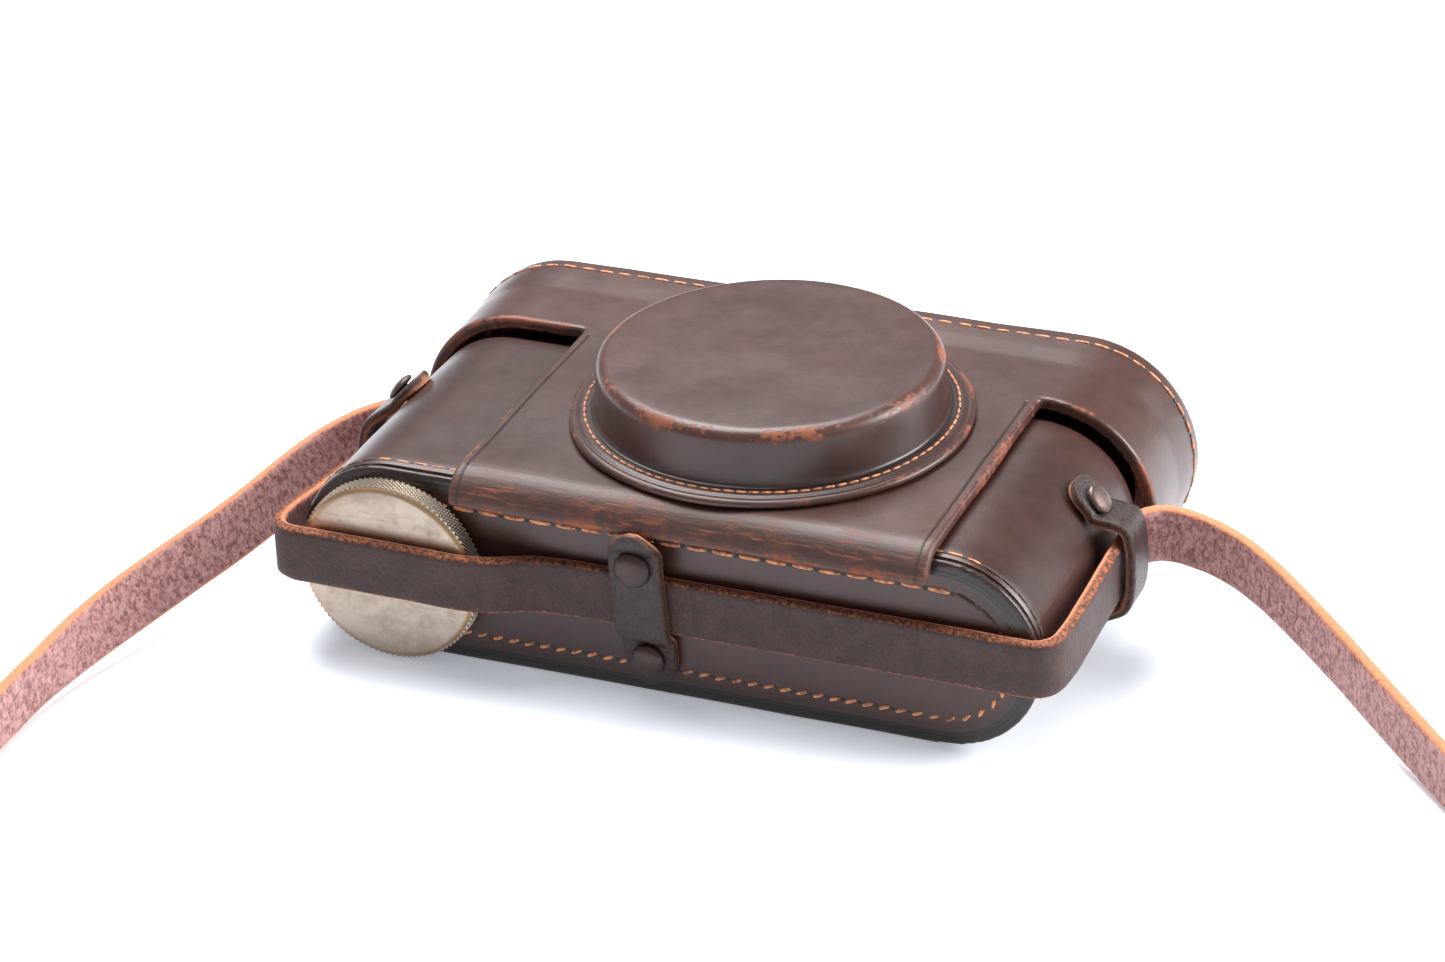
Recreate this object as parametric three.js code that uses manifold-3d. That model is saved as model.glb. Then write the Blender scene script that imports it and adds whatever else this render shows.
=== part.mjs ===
// Leather ever-ready case for a 35 mm rangefinder camera, lying on its back.
// Millimetres. +X along the case, +Y towards its top, +Z out of its front.
// The origin is on the outer face of the back panel, halfway along the case.
import * as THREE from 'three';
import { mergeVertices } from 'three/addons/utils/BufferGeometryUtils.js';
import Module from 'manifold-3d';

const wasm = await Module();
wasm.setup();

// ---------------------------------------------------------------- sizes
const GAP = 0.3; // clearance between neighbouring pieces
const LEATHER = 2.2; // thickness of the body leather
const HALF_LENGTH = 72.8; // body, from the middle to the tip of its round end
const DEPTH = 37.8; // body, back to front
const MID_Z = DEPTH / 2; // height of the round ends' axis
const BAND_BACK_Z = 2.5; // the band laps over the inside of the back panel
const SEAM_HALF = 42; // where the band ends on the back panel
const NECK_HALF_LENGTH = 68.8; // narrower top of the body, inside the lid
const SHOULDER_Y = 17.3; // step between the body and its neck
const NECK_TOP_Y = 27;
const EAR_TOP_Y = 40.5; // back corners, which carry on up beside the back panel
const EAR_TOP_Z = 6.4;
const BAND_BOTTOM_Y = -37.6;
const TRAY_Y = [-40.0, -37.9]; // flange of the moulded bottom
const TRAY_RIM_TOP_Y = -35.0;
const TRAY_RIM = 1.8;
const SOLE_Y = [-42.3, -40.3];
const SOLE_EDGE = 0.9; // rounding of the sole's outer edge
const PANEL_Y = [-37.5, 40.8];
const PANEL_HALF = 60;
const LINING = 0.8;

const LID_LEATHER = 2.5;
const LID_INNER = 0.35; // clearance between the lid and the body
const LID_FRONT_Z = DEPTH + LID_INNER + LID_LEATHER;
const SKIRT_EDGE_Y = 17.6;
const SKIRT_TOP_Y = 41.5;
const SKIRT_BACK_Z = 6.9; // the round ends of the skirt stop here
const TOP_Y = [41.8, 43.9];
const TOP_PROUD = 0.3; // the top plate stands proud of the skirt
const TOP_RIM_Y = 34.5;
const TOP_RIM = 1.8;
const TOP_BACK_Z = 0.4; // the top plate's back edge, which passes just over the table as it turns
const FLAP_X = [-40, 52.9];
const LIP_INNER_Y = -43.7;
const LIP_END_Z = 34.2;
const LIP_BEND = 2.4; // inner radius of the bend over the bottom edge

const LENS = { x: 7.6, y: -3.9 };
const LENS_CUT_R = 29.5; // mouth in the body's front
const BOX_HOLE_R = 28.6; // hole in the flap
const BOX = {
  flangeR: 38, flange: 2.0, baseR: 32.6, topR: 31.0, topZ: 53.0, wall: 2.2, fillet: 2.4,
};

const KNOB = { x: -52.8, z: 18.6, r: 18.2, y: [-47.4, -42.9], teeth: 64, tooth: 0.45 };
const SCREW_R = 3.1;
const SCREW_Y = [-42.6, -30.5];
const BUSH = { inner: 3.5, outer: 5.4, flange: 8.2, y: [-42.0, -36.6], flangeY: -37.6 };

const STRAP_W = 11.2;
const STRAP_T = 2.3;
const LOOP_Y = [-5.5, 6.5];
const LOOP_T = 1.9;
const LOOP_END_DEG = 58; // how far the loop runs round the end, to each side
const RIVET_DEG = 42;
const BACK_RIVET_DEG = 47;

const STUD = { x: -2.8, z: 28.6 };
const CLOSURE = { x: -2.2, width: 10.4, thickness: 2.0, endZ: 35.4, hingeZ: 12.9 };
const ANCHOR_RIVET = { x: -1.6, z: 8.5 };
const BURR_R = 2.6;

// Free ends of the strap, as centre points by hand; the rest of each is rolled up.
const LEFT_ROUTE = [
  [-75.3, 5.8, 16.3], [-75.6, 8.8, 16.2], [-77.6, 13.3, 15.0], [-81.8, 15.6, 13.5],
  [-86.0, 12.8, 12.6], [-88.8, 7.6, 12.1], [-91.0, 0.6, 11.6], [-92.8, -8.8, 11.1],
  [-94.2, -18.6, 10.6], [-96.2, -29.6, 10.0], [-98.8, -40.4, 9.4], [-101.6, -51.6, 8.7],
  [-104.2, -63.0, 7.9], [-106.2, -75.0, 7.1], [-107.2, -87.0, 6.5], [-107.2, -99.0, 6.2],
];
const RIGHT_ROUTE = [
  [75.3, 5.5, 20.2], [75.8, 7.8, 20.2], [79.6, 11.0, 20.1], [87.4, 10.4, 19.5],
  [93.8, 8.4, 18.4], [99.8, 5.4, 16.9], [105.6, 1.6, 15.2], [111.8, -3.0, 13.3],
  [119.0, -9.0, 11.3], [127.4, -16.6, 9.2], [134.2, -23.0, 7.8], [141.0, -30.0, 6.8],
  [147.0, -36.2, 6.3],
];
const BASE_ROUTE = [
  [-75.3, 5.0, 16.4], [-75.3, -6.0, 16.6], [-75.5, -18.0, 17.6], [-75.7, -30.0, 18.9],
  [-75.9, -38.0, 19.8], [-75.7, -43.4, 20.4], [-74.6, -47.2, 20.7], [-71.6, -49.1, 20.8],
  [-66.0, -49.15, 20.8], [-48.0, -49.05, 20.6], [-37.0, -49.0, 20.4], [-31.4, -47.8, 20.3],
  [-25.6, -45.1, 20.2], [-19.6, -44.0, 20.2], [8.0, -43.9, 20.2], [34.0, -43.9, 20.2],
  [58.0, -43.95, 20.2], [69.0, -44.1, 20.2], [73.0, -43.7, 20.2], [75.2, -41.4, 20.2],
  [75.9, -36.0, 20.2], [75.9, -28.0, 20.2], [75.6, -16.0, 20.2], [75.3, -6.0, 20.2],
  [75.3, 5.0, 20.2],
];
const ROLL_TOP_Z = 11.7;
const LEFT_ROLL = { x: -140.4, y: -114.0, r: 34.6, inner: 24.8 };
const RIGHT_ROLL = { x: 178.2, y: -16.4, r: 37.4, inner: 24.4 };
const BUCKLE = { w: 15.6, l: 13.0, wire: 2.2, z: 8.2, inX: -15.9, inY: 6.5 };
const PAD = 0.7; // felt pads and linings of the lid and the floor
const PAD_R = 26.8;

// ---------------------------------------------------------------- finishes
const finish = (color, roughness, metalness = 0) =>
  new THREE.MeshStandardMaterial({ color, roughness, metalness });
const LEATHER_BROWN = 0x4a3432;
const STRAP_BROWN = 0x7a5450;
const LINING_RED = 0x5a2a2a;
const NICKEL = 0xb5ada0;
const LACQUER = 0x382a28;

const root = new THREE.Group();
const add = (name, geometry, color, roughness = 0.5, metalness = 0) => {
  const mesh = new THREE.Mesh(geometry, finish(color, roughness, metalness));
  mesh.name = name;
  root.add(mesh);
  return mesh;
};

// ---------------------------------------------------------------- solids
const solid = (geometry) => {
  const g = geometry.index ? geometry.clone() : geometry;
  g.deleteAttribute('normal');
  g.deleteAttribute('uv');
  const merged = mergeVertices(g, 1e-4);
  return new wasm.Manifold(new wasm.Mesh({
    numProp: 3,
    vertProperties: new Float32Array(merged.attributes.position.array),
    triVerts: new Uint32Array(merged.index.array),
  }));
};

const geometryOf = (manifold) => {
  const mesh = manifold.getMesh();
  const g = new THREE.BufferGeometry();
  g.setAttribute('position', new THREE.BufferAttribute(new Float32Array(mesh.vertProperties), 3));
  g.setIndex(new THREE.BufferAttribute(new Uint32Array(mesh.triVerts), 1));
  g.computeVertexNormals();
  return g;
};

const box = (x, y, z) => new THREE.BoxGeometry(x[1] - x[0], y[1] - y[0], z[1] - z[0])
  .translate((x[0] + x[1]) / 2, (y[0] + y[1]) / 2, (z[0] + z[1]) / 2);

// A shape drawn in X and Z, extruded along Y from y[0] to y[1].
const alongY = (shape, y, segments = 9) =>
  new THREE.ExtrudeGeometry(shape, { depth: y[1] - y[0], bevelEnabled: false, curveSegments: segments })
    .rotateX(Math.PI / 2).translate(0, y[1], 0);

// A profile of [radius, height] turned about the Y axis through x, z.
const turnedY = (profile, x, z, segments = 40) =>
  new THREE.LatheGeometry(profile.map(([r, h]) => new THREE.Vector2(r, h)), segments).translate(x, 0, z);

// The case's outline in X and Z: flat back and front, round ends.
const caseOutline = (half, inset = 0, backZ = 0, Kind = THREE.Shape, front = DEPTH) => {
  const rf = front - MID_Z;
  const rb = MID_Z - backZ;
  const s = new Kind();
  s.moveTo(-(half - rb), backZ + inset);
  s.lineTo(half - rb, backZ + inset);
  s.absarc(half - rb, MID_Z, rb - inset, -Math.PI / 2, 0, false);
  s.absarc(half - rf, MID_Z, rf - inset, 0, Math.PI / 2, false);
  s.lineTo(-(half - rf), front - inset);
  s.absarc(-(half - rf), MID_Z, rf - inset, Math.PI / 2, Math.PI, false);
  s.absarc(-(half - rb), MID_Z, rb - inset, Math.PI, 1.5 * Math.PI, false);
  return s;
};

const ring = (outer, hole) => {
  outer.holes.push(hole);
  return outer;
};

// A strip of even thickness along a line of [u, v] points.
const stripShape = (points, thickness) => {
  const line = points.map(([u, v]) => new THREE.Vector2(u, v));
  const side = (sign) => line.map((p, i) => {
    const a = line[Math.max(i - 1, 0)];
    const b = line[Math.min(i + 1, line.length - 1)];
    const t = b.clone().sub(a).normalize();
    return new THREE.Vector2(p.x - sign * t.y * thickness / 2, p.y + sign * t.x * thickness / 2);
  });
  return new THREE.Shape([...side(1), ...side(-1).reverse()]);
};

const smooth = (points, count) =>
  new THREE.SplineCurve(points.map(([u, v]) => new THREE.Vector2(u, v)))
    .getSpacedPoints(count).map((p) => [p.x, p.y]);

// A profile of [y, z] points, extruded along X.
const alongX = (shape, x) =>
  new THREE.ExtrudeGeometry(shape, { depth: x[1] - x[0], bevelEnabled: false, curveSegments: 12 })
    .applyMatrix4(new THREE.Matrix4().makeBasis(
      new THREE.Vector3(0, 1, 0), new THREE.Vector3(0, 0, 1), new THREE.Vector3(1, 0, 0)))
    .translate(x[0], 0, 0);

// A free strap's sweep, cut to meet the roll that holds the rest of its length.
const strapTube = (route, steps, rolled) => {
  const w = STRAP_W / 2;
  const t = STRAP_T / 2;
  const c = 0.5;
  const path = new THREE.CatmullRomCurve3(
    route.map((p) => new THREE.Vector3(...p)), false, 'centripetal');
  // The sweep's first frame takes its normal from the tangent's smallest part.
  const tangent = path.getTangentAt(0);
  const upright = Math.abs(tangent.z) < Math.min(Math.abs(tangent.x), Math.abs(tangent.y));
  const section = new THREE.Shape([
    [-w, -t + c], [-w + c, -t], [w - c, -t], [w, -t + c],
    [w, t - c], [w - c, t], [-w + c, t], [-w, t - c],
  ].map(([x, y]) => (upright ? new THREE.Vector2(x, y) : new THREE.Vector2(-y, x))));
  const tube = new THREE.ExtrudeGeometry(section, { steps, extrudePath: path, bevelEnabled: false });
  const space = new THREE.CylinderGeometry(rolled.r + GAP, rolled.r + GAP, 60, 64)
    .rotateX(Math.PI / 2).translate(rolled.x, rolled.y, 0);
  return geometryOf(solid(tube).subtract(solid(space)));
};

// A strap that stands upright all the way: its plan is extruded, then each
// corner is lifted to the height of the nearest point of the route.
const uprightStrap = (route, count) => {
  const line = new THREE.CatmullRomCurve3(
    route.map((p) => new THREE.Vector3(...p)), false, 'centripetal').getSpacedPoints(count);
  const plan = stripShape(line.map((p) => [p.x, p.y]), STRAP_T);
  const g = new THREE.ExtrudeGeometry(plan, { depth: STRAP_W, bevelEnabled: false });
  const at = g.attributes.position;
  for (let i = 0; i < at.count; i += 1) {
    const x = at.getX(i);
    const y = at.getY(i);
    const near = line.reduce((a, b) => (Math.hypot(a.x - x, a.y - y) <= Math.hypot(b.x - x, b.y - y) ? a : b));
    at.setZ(i, at.getZ(i) + near.z - STRAP_W / 2);
  }
  return g;
};

const rivetHoles = [[STUD.x, STUD.z], [ANCHOR_RIVET.x, ANCHOR_RIVET.z]];
const shankHole = (x, z, r, y) => solid(alongY(new THREE.Shape().absarc(x, z, r, 0, 2 * Math.PI), y, 10));

// ---------------------------------------------------------------- body
function bodyBand() {
  const wall = (half, y) => solid(alongY(
    ring(caseOutline(half, 0, BAND_BACK_Z), caseOutline(half, LEATHER, BAND_BACK_Z, THREE.Path)), y));
  const shoulder = solid(alongY(
    ring(caseOutline(HALF_LENGTH, 0, BAND_BACK_Z),
      caseOutline(NECK_HALF_LENGTH, LEATHER, BAND_BACK_Z, THREE.Path)),
    [SHOULDER_Y - LEATHER, SHOULDER_Y]));
  const ears = wall(NECK_HALF_LENGTH, [SHOULDER_Y - LEATHER, EAR_TOP_Y])
    .intersect(solid(box([-80, 80], [0, 50], [0, EAR_TOP_Z])));
  const back = solid(box([-SEAM_HALF, SEAM_HALF], [-50, 50], [0, MID_Z]));
  const lens = LENS_CUT_R;
  const mouth = new THREE.Shape();
  mouth.moveTo(LENS.x + lens, LENS.y);
  mouth.lineTo(LENS.x + lens, NECK_TOP_Y + 5);
  mouth.lineTo(LENS.x - lens, NECK_TOP_Y + 5);
  mouth.lineTo(LENS.x - lens, LENS.y);
  mouth.absarc(LENS.x, LENS.y, lens, Math.PI, 2 * Math.PI, false);
  const cut = solid(new THREE.ExtrudeGeometry(mouth, { depth: 12, bevelEnabled: false, curveSegments: 20 })
    .translate(0, 0, DEPTH - 8));
  const shanks = [-1, 1].flatMap((sx) => [1, -1].map((sz) => loopShank(sx, sz)));
  let band = wall(HALF_LENGTH, [BAND_BOTTOM_Y, SHOULDER_Y]).add(shoulder)
    .add(wall(NECK_HALF_LENGTH, [SHOULDER_Y - LEATHER, NECK_TOP_Y])).add(ears).subtract(back).subtract(cut);
  for (const hole of shanks) band = band.subtract(hole);
  return geometryOf(band);
}

// The direction and the place of a loop's rivet on the round end.
function rivetPlace(sx, sz) {
  const a = THREE.MathUtils.degToRad(sz > 0 ? RIVET_DEG : BACK_RIVET_DEG);
  const rb = MID_Z - BAND_BACK_Z;
  const r = sz > 0 ? MID_Z : rb;
  const dir = new THREE.Vector3(sx * Math.cos(a), 0, sz * Math.sin(a));
  const axis = new THREE.Vector3(sx * (HALF_LENGTH - r), (LOOP_Y[0] + LOOP_Y[1]) / 2, MID_Z);
  return { dir, wall: axis.clone().addScaledVector(dir, r) };
}

const turnedAlong = (profile, place, dir, segments = 14) => {
  const g = new THREE.LatheGeometry(profile.map(([r, h]) => new THREE.Vector2(r, h)), segments);
  g.applyQuaternion(new THREE.Quaternion().setFromUnitVectors(new THREE.Vector3(0, 1, 0), dir));
  return g.translate(place.x, place.y, place.z);
};

function loopShank(sx, sz) {
  const { dir, wall } = rivetPlace(sx, sz);
  return solid(turnedAlong([[0, -6], [1.6, -6], [1.6, 3], [0, 3]], wall, dir, 12));
}

function backPanel() {
  const r = 5;
  const s = new THREE.Shape();
  const [y0, y1] = PANEL_Y;
  s.moveTo(-PANEL_HALF, y0);
  s.lineTo(PANEL_HALF, y0);
  s.lineTo(PANEL_HALF, y1 - r);
  s.absarc(PANEL_HALF - r, y1 - r, r, 0, Math.PI / 2, false);
  s.lineTo(-PANEL_HALF + r, y1);
  s.absarc(-PANEL_HALF + r, y1 - r, r, Math.PI / 2, Math.PI, false);
  return new THREE.ExtrudeGeometry(s, { depth: BAND_BACK_Z - GAP, bevelEnabled: false, curveSegments: 8 });
}

function bottomTray() {
  const rimInset = LEATHER + GAP;
  const flange = solid(alongY(caseOutline(HALF_LENGTH), TRAY_Y));
  const rim = solid(alongY(
    ring(caseOutline(HALF_LENGTH, rimInset, BAND_BACK_Z),
      caseOutline(HALF_LENGTH, rimInset + TRAY_RIM, BAND_BACK_Z, THREE.Path)),
    [TRAY_Y[0] + 0.5, TRAY_RIM_TOP_Y]));
  let tray = flange.add(rim).subtract(shankHole(KNOB.x, KNOB.z, BUSH.outer + GAP, [-45, -30]));
  for (const [x, z] of rivetHoles) {
    tray = tray.subtract(shankHole(x, z, 1.6, [-45, -30]))
      .subtract(shankHole(x, z, BURR_R + GAP, [TRAY_Y[1], -30]));
  }
  return geometryOf(tray);
}

function bottomSole() {
  const depth = SOLE_Y[1] - SOLE_Y[0] - SOLE_EDGE;
  const plate = new THREE.ExtrudeGeometry(caseOutline(HALF_LENGTH), {
    depth, bevelEnabled: true, bevelThickness: SOLE_EDGE, bevelSize: SOLE_EDGE,
    bevelOffset: -SOLE_EDGE, bevelSegments: 1, curveSegments: 9,
  }).rotateX(Math.PI / 2).translate(0, SOLE_Y[1], 0);
  let sole = solid(plate).intersect(solid(box([-90, 90], SOLE_Y, [-5, 45])))
    .subtract(shankHole(KNOB.x, KNOB.z, BUSH.outer + GAP, [-45, -30]));
  for (const [x, z] of rivetHoles) sole = sole.subtract(shankHole(x, z, 1.6, [-45, -30]));
  return geometryOf(sole);
}

function bodyLining() {
  const inset = LEATHER + GAP;
  const y = [TRAY_RIM_TOP_Y + GAP, SHOULDER_Y - LEATHER - GAP];
  let lining = solid(alongY(
    ring(caseOutline(HALF_LENGTH, inset, BAND_BACK_Z),
      caseOutline(HALF_LENGTH, inset + LINING, BAND_BACK_Z, THREE.Path)), y, 7))
    .subtract(solid(box([-SEAM_HALF, SEAM_HALF], [-50, 50], [0, MID_Z])))
    .subtract(solid(new THREE.CylinderGeometry(LENS_CUT_R + GAP, LENS_CUT_R + GAP, 20, 36)
      .rotateX(Math.PI / 2).translate(LENS.x, LENS.y, DEPTH)))
    .subtract(solid(box([LENS.x - LENS_CUT_R - GAP, LENS.x + LENS_CUT_R + GAP], [LENS.y, 40], [28, 48])));
  for (const sx of [-1, 1]) {
    for (const sz of [1, -1]) {
      const { dir, wall } = rivetPlace(sx, sz);
      lining = lining.subtract(solid(turnedAlong([[0, -6], [3.4, -6], [3.4, 3], [0, 3]], wall, dir, 10)));
    }
  }
  return geometryOf(lining);
}

// The band's ends leave the middle of the back bare, so it has a lining of its own.
function backLining() {
  const z = BAND_BACK_Z;
  return box([-SEAM_HALF + GAP, SEAM_HALF - GAP], [PANEL_Y[0] + GAP, EAR_TOP_Y - GAP], [z, z + LINING]);
}

// The camera's foot stands on this pad, inside the tray's rim.
function bottomPad() {
  const inset = LEATHER + GAP + TRAY_RIM + GAP;
  const y = [TRAY_Y[1] + GAP, TRAY_Y[1] + GAP + PAD];
  let pad = solid(alongY(caseOutline(HALF_LENGTH, inset, BAND_BACK_Z), y, 7))
    .subtract(shankHole(KNOB.x, KNOB.z, BUSH.flange + GAP, [-45, -30]));
  for (const [x, z] of rivetHoles) pad = pad.subtract(shankHole(x, z, BURR_R + GAP, [-45, -30]));
  return geometryOf(pad);
}

// ---------------------------------------------------------------- lid
// The lid's outline: the body's, standing out by its clearance and leather.
const lidOutline = (out, Kind = THREE.Shape) => {
  const r = MID_Z + out;
  const c = HALF_LENGTH - MID_Z;
  const s = new Kind();
  s.moveTo(-c, MID_Z - r);
  s.lineTo(c, MID_Z - r);
  s.absarc(c, MID_Z, r, -Math.PI / 2, Math.PI / 2, false);
  s.lineTo(-c, MID_Z + r);
  s.absarc(-c, MID_Z, r, Math.PI / 2, 1.5 * Math.PI, false);
  return s;
};

function lidShell() {
  const skirt = solid(alongY(
    ring(lidOutline(LID_INNER + LID_LEATHER), lidOutline(LID_INNER, THREE.Path)),
    [SKIRT_EDGE_Y, SKIRT_TOP_Y], 18))
    .intersect(solid(box([-90, 90], [0, 60], [SKIRT_BACK_Z, 60])));
  const inner = DEPTH + LID_INNER;
  const bendY = LIP_INNER_Y + LIP_BEND;
  const bendZ = inner - LIP_BEND;
  const outerR = LIP_BEND + LID_LEATHER;
  const s = new THREE.Shape();
  s.moveTo(SKIRT_EDGE_Y + 2, inner);
  s.lineTo(SKIRT_EDGE_Y + 2, inner + LID_LEATHER);
  s.lineTo(bendY, inner + LID_LEATHER);
  s.absarc(bendY, bendZ, outerR, Math.PI / 2, Math.PI, false);
  s.lineTo(LIP_INNER_Y - LID_LEATHER, LIP_END_Z);
  s.lineTo(LIP_INNER_Y, LIP_END_Z);
  s.lineTo(LIP_INNER_Y, bendZ);
  s.absarc(bendY, bendZ, LIP_BEND, Math.PI, Math.PI / 2, true);
  const flap = solid(alongX(s, FLAP_X));
  const hole = solid(new THREE.CylinderGeometry(BOX_HOLE_R, BOX_HOLE_R, 20, 64)
    .rotateX(Math.PI / 2).translate(LENS.x, LENS.y, LID_FRONT_Z));
  return geometryOf(skirt.add(flap).subtract(hole));
}

function lidTop() {
  const out = LID_INNER + LID_LEATHER + TOP_PROUD;
  const edge = 0.8;
  const plate = new THREE.ExtrudeGeometry(lidOutline(out), {
    depth: TOP_Y[1] - TOP_Y[0] - edge, bevelEnabled: true, bevelThickness: edge, bevelSize: edge,
    bevelOffset: -edge, bevelSegments: 2, curveSegments: 18,
  }).rotateX(-Math.PI / 2).scale(1, 1, -1);
  // The mirrored plate is turned the right way out again by swapping each triangle's corners.
  const p = plate.attributes.position;
  for (let i = 0; i < p.count; i += 3) {
    const a = new THREE.Vector3().fromBufferAttribute(p, i + 1);
    const b = new THREE.Vector3().fromBufferAttribute(p, i + 2);
    p.setXYZ(i + 1, b.x, b.y, b.z);
    p.setXYZ(i + 2, a.x, a.y, a.z);
  }
  plate.translate(0, TOP_Y[0], 0);
  const rimOut = LID_INNER - GAP;
  const rim = solid(alongY(
    ring(lidOutline(rimOut), lidOutline(rimOut - TOP_RIM, THREE.Path)), [TOP_RIM_Y, TOP_Y[0] + 0.4], 18))
    .intersect(solid(box([-90, 90], [0, 60], [SKIRT_BACK_Z + 1.2, 60])));
  return geometryOf(solid(plate).intersect(solid(box([-90, 90], TOP_Y, [TOP_BACK_Z, 60]))).add(rim));
}

function lidTopPad() {
  const y = [TOP_Y[0] - GAP - PAD, TOP_Y[0] - GAP];
  return geometryOf(solid(alongY(lidOutline(LID_INNER - 2 * GAP - TOP_RIM), y, 12))
    .intersect(solid(box([-90, 90], [0, 60], [SKIRT_BACK_Z, 60]))));
}

const lensBoxPad = () => new THREE.CylinderGeometry(PAD_R, PAD_R, PAD, 44)
  .rotateX(Math.PI / 2).translate(LENS.x, LENS.y, BOX.topZ - BOX.wall - GAP - PAD / 2);

function lensBox() {
  const z0 = LID_FRONT_Z + GAP;
  const z1 = z0 + BOX.flange;
  const { baseR, topR, topZ, wall, fillet, flangeR } = BOX;
  const arc = (cx, cy, r, from, to, n) => Array.from({ length: n + 1 }, (_, i) => {
    const a = THREE.MathUtils.degToRad(from + (to - from) * i / n);
    return [cx + r * Math.cos(a), cy + r * Math.sin(a)];
  });
  const profile = [
    [0, topZ - wall], ...arc(topR - wall - 1.6, topZ - wall - 1.6, 1.6, 90, 0, 2),
    [baseR - wall, z0], [flangeR - 0.5, z0], [flangeR, z0 + 0.5], [flangeR, z1 - 0.7], [flangeR - 0.8, z1],
    ...arc(baseR + 1.4, z1 + 1.4, 1.4, 270, 180, 2), ...arc(topR - fillet, topZ - fillet, fillet, 0, 90, 3),
    [0, topZ],
  ];
  return new THREE.LatheGeometry(profile.map(([r, z]) => new THREE.Vector2(r, z)), 44)
    .rotateX(Math.PI / 2).translate(LENS.x, LENS.y, 0);
}

// ---------------------------------------------------------------- tripod screw
function knob() {
  const s = new THREE.Shape();
  for (let i = 0; i < KNOB.teeth * 2; i += 1) {
    const a = Math.PI * i / KNOB.teeth;
    const r = KNOB.r - (i % 2) * KNOB.tooth;
    if (i === 0) s.moveTo(r, 0);
    else s.lineTo(r * Math.cos(a), r * Math.sin(a));
  }
  const rim = solid(alongY(s, KNOB.y)).translate([KNOB.x, 0, KNOB.z]);
  const r = KNOB.r;
  const [y0, y1] = KNOB.y;
  const turned = solid(turnedY([
    [0, y0], [r - 0.9, y0], [r + 0.5, y0 + 1.4], [r + 0.5, y1 - 1.4], [r - 0.9, y1], [0, y1],
  ], KNOB.x, KNOB.z, 64));
  return geometryOf(rim.intersect(turned));
}

const tripodScrew = () => {
  const [y0, y1] = SCREW_Y;
  return turnedY([[0, y0], [SCREW_R, y0], [SCREW_R, y1 - 0.9], [SCREW_R - 0.9, y1], [0, y1]],
    KNOB.x, KNOB.z, 28);
};

const screwBush = () => {
  const { inner, outer, flange, y, flangeY } = BUSH;
  return turnedY([
    [inner, y[0]], [outer, y[0]], [outer, flangeY], [flange, flangeY], [flange - 0.4, y[1]],
    [inner, y[1]], [inner, y[0]],
  ], KNOB.x, KNOB.z, 32);
};

const screwRetainer = () => {
  const y = BUSH.y[1] + GAP;
  return turnedY([
    [SCREW_R + GAP, y], [6.6, y], [6.6, y + 1.1], [SCREW_R + GAP, y + 1.1], [SCREW_R + GAP, y],
  ], KNOB.x, KNOB.z, 28);
};

// ---------------------------------------------------------------- closure
function snapStud() {
  return turnedY([
    [0, -46.9], [1.7, -46.7], [2.1, -46.0], [1.6, -45.3], [1.6, -43.3], [2.4, -43.2], [2.4, SOLE_Y[0] - GAP],
    [1.3, SOLE_Y[0] - GAP], [1.3, -37.3], [0, -37.3],
  ], STUD.x, STUD.z, 16);
}

const burr = (x, z) => {
  const y = TRAY_Y[1] + GAP;
  return turnedY([[1.6, y], [BURR_R, y], [BURR_R - 0.3, y + 0.7], [1.6, y + 0.7], [1.6, y]], x, z, 16);
};

function closureProfile() {
  const y = SOLE_Y[0] - GAP - CLOSURE.thickness / 2;
  const over = y - STRAP_T - GAP;
  const lip = LIP_INNER_Y - LID_LEATHER - GAP - CLOSURE.thickness / 2;
  return { y, over, lip };
}

function closureStrip() {
  const { over, lip, y } = closureProfile();
  const line = smooth([
    [y - 0.2, CLOSURE.hingeZ - 0.4], [over + 0.6, 13.6], [over - 0.1, 14.7], [over, 20], [over, 26],
    [over, 30.6], [over - 0.1, 31.8], [lip + 0.3, 33.2], [lip, 34.2], [lip - 0.3, CLOSURE.endZ],
  ], 28);
  const x = [CLOSURE.x - CLOSURE.width / 2, CLOSURE.x + CLOSURE.width / 2];
  const strip = solid(alongX(stripShape(line, CLOSURE.thickness), x));
  const r = CLOSURE.width / 2;
  const end = solid(new THREE.CylinderGeometry(r, r, 30, 32).translate(CLOSURE.x, -45, CLOSURE.endZ - r))
    .add(solid(box(x, [-60, -30], [CLOSURE.hingeZ + GAP, CLOSURE.endZ - r])));
  return geometryOf(strip.intersect(end).subtract(shankHole(STUD.x, STUD.z, 3.3, [-60, -30])));
}

function closureAnchor() {
  const { y } = closureProfile();
  const r = CLOSURE.width / 2;
  const plate = solid(box([CLOSURE.x - r, CLOSURE.x + r],
    [y - CLOSURE.thickness / 2, y + CLOSURE.thickness / 2], [3.2, CLOSURE.hingeZ]));
  const round = solid(new THREE.CylinderGeometry(r, r, 30, 32).translate(CLOSURE.x, -45, 3.2 + r))
    .add(solid(box([-30, 30], [-60, -30], [3.2 + r, 40])));
  return geometryOf(plate.intersect(round)
    .subtract(shankHole(ANCHOR_RIVET.x, ANCHOR_RIVET.z, 1.6, [-60, -30])));
}

// The cap's skirt is the socket that grips the stud's bulb.
function snapCap() {
  const y = closureProfile().over - CLOSURE.thickness / 2 - GAP;
  return turnedY([
    [0, y - 1.7], [2.2, y - 1.4], [3.2, y - 0.7], [3.4, y - 0.2], [3.3, y], [3.0, y], [3.0, y + 1.6],
    [2.5, y + 1.6], [2.5, y - 0.4], [0, y - 0.7],
  ], STUD.x, STUD.z, 22);
}

function closureRivet() {
  const y = closureProfile().y - CLOSURE.thickness / 2 - GAP;
  return turnedY([
    [0, y - 1.6], [1.9, y - 1.3], [2.9, y - 0.6], [3.2, y], [1.3, y], [1.3, -37.3], [0, -37.3],
  ], ANCHOR_RIVET.x, ANCHOR_RIVET.z, 22);
}

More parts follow.
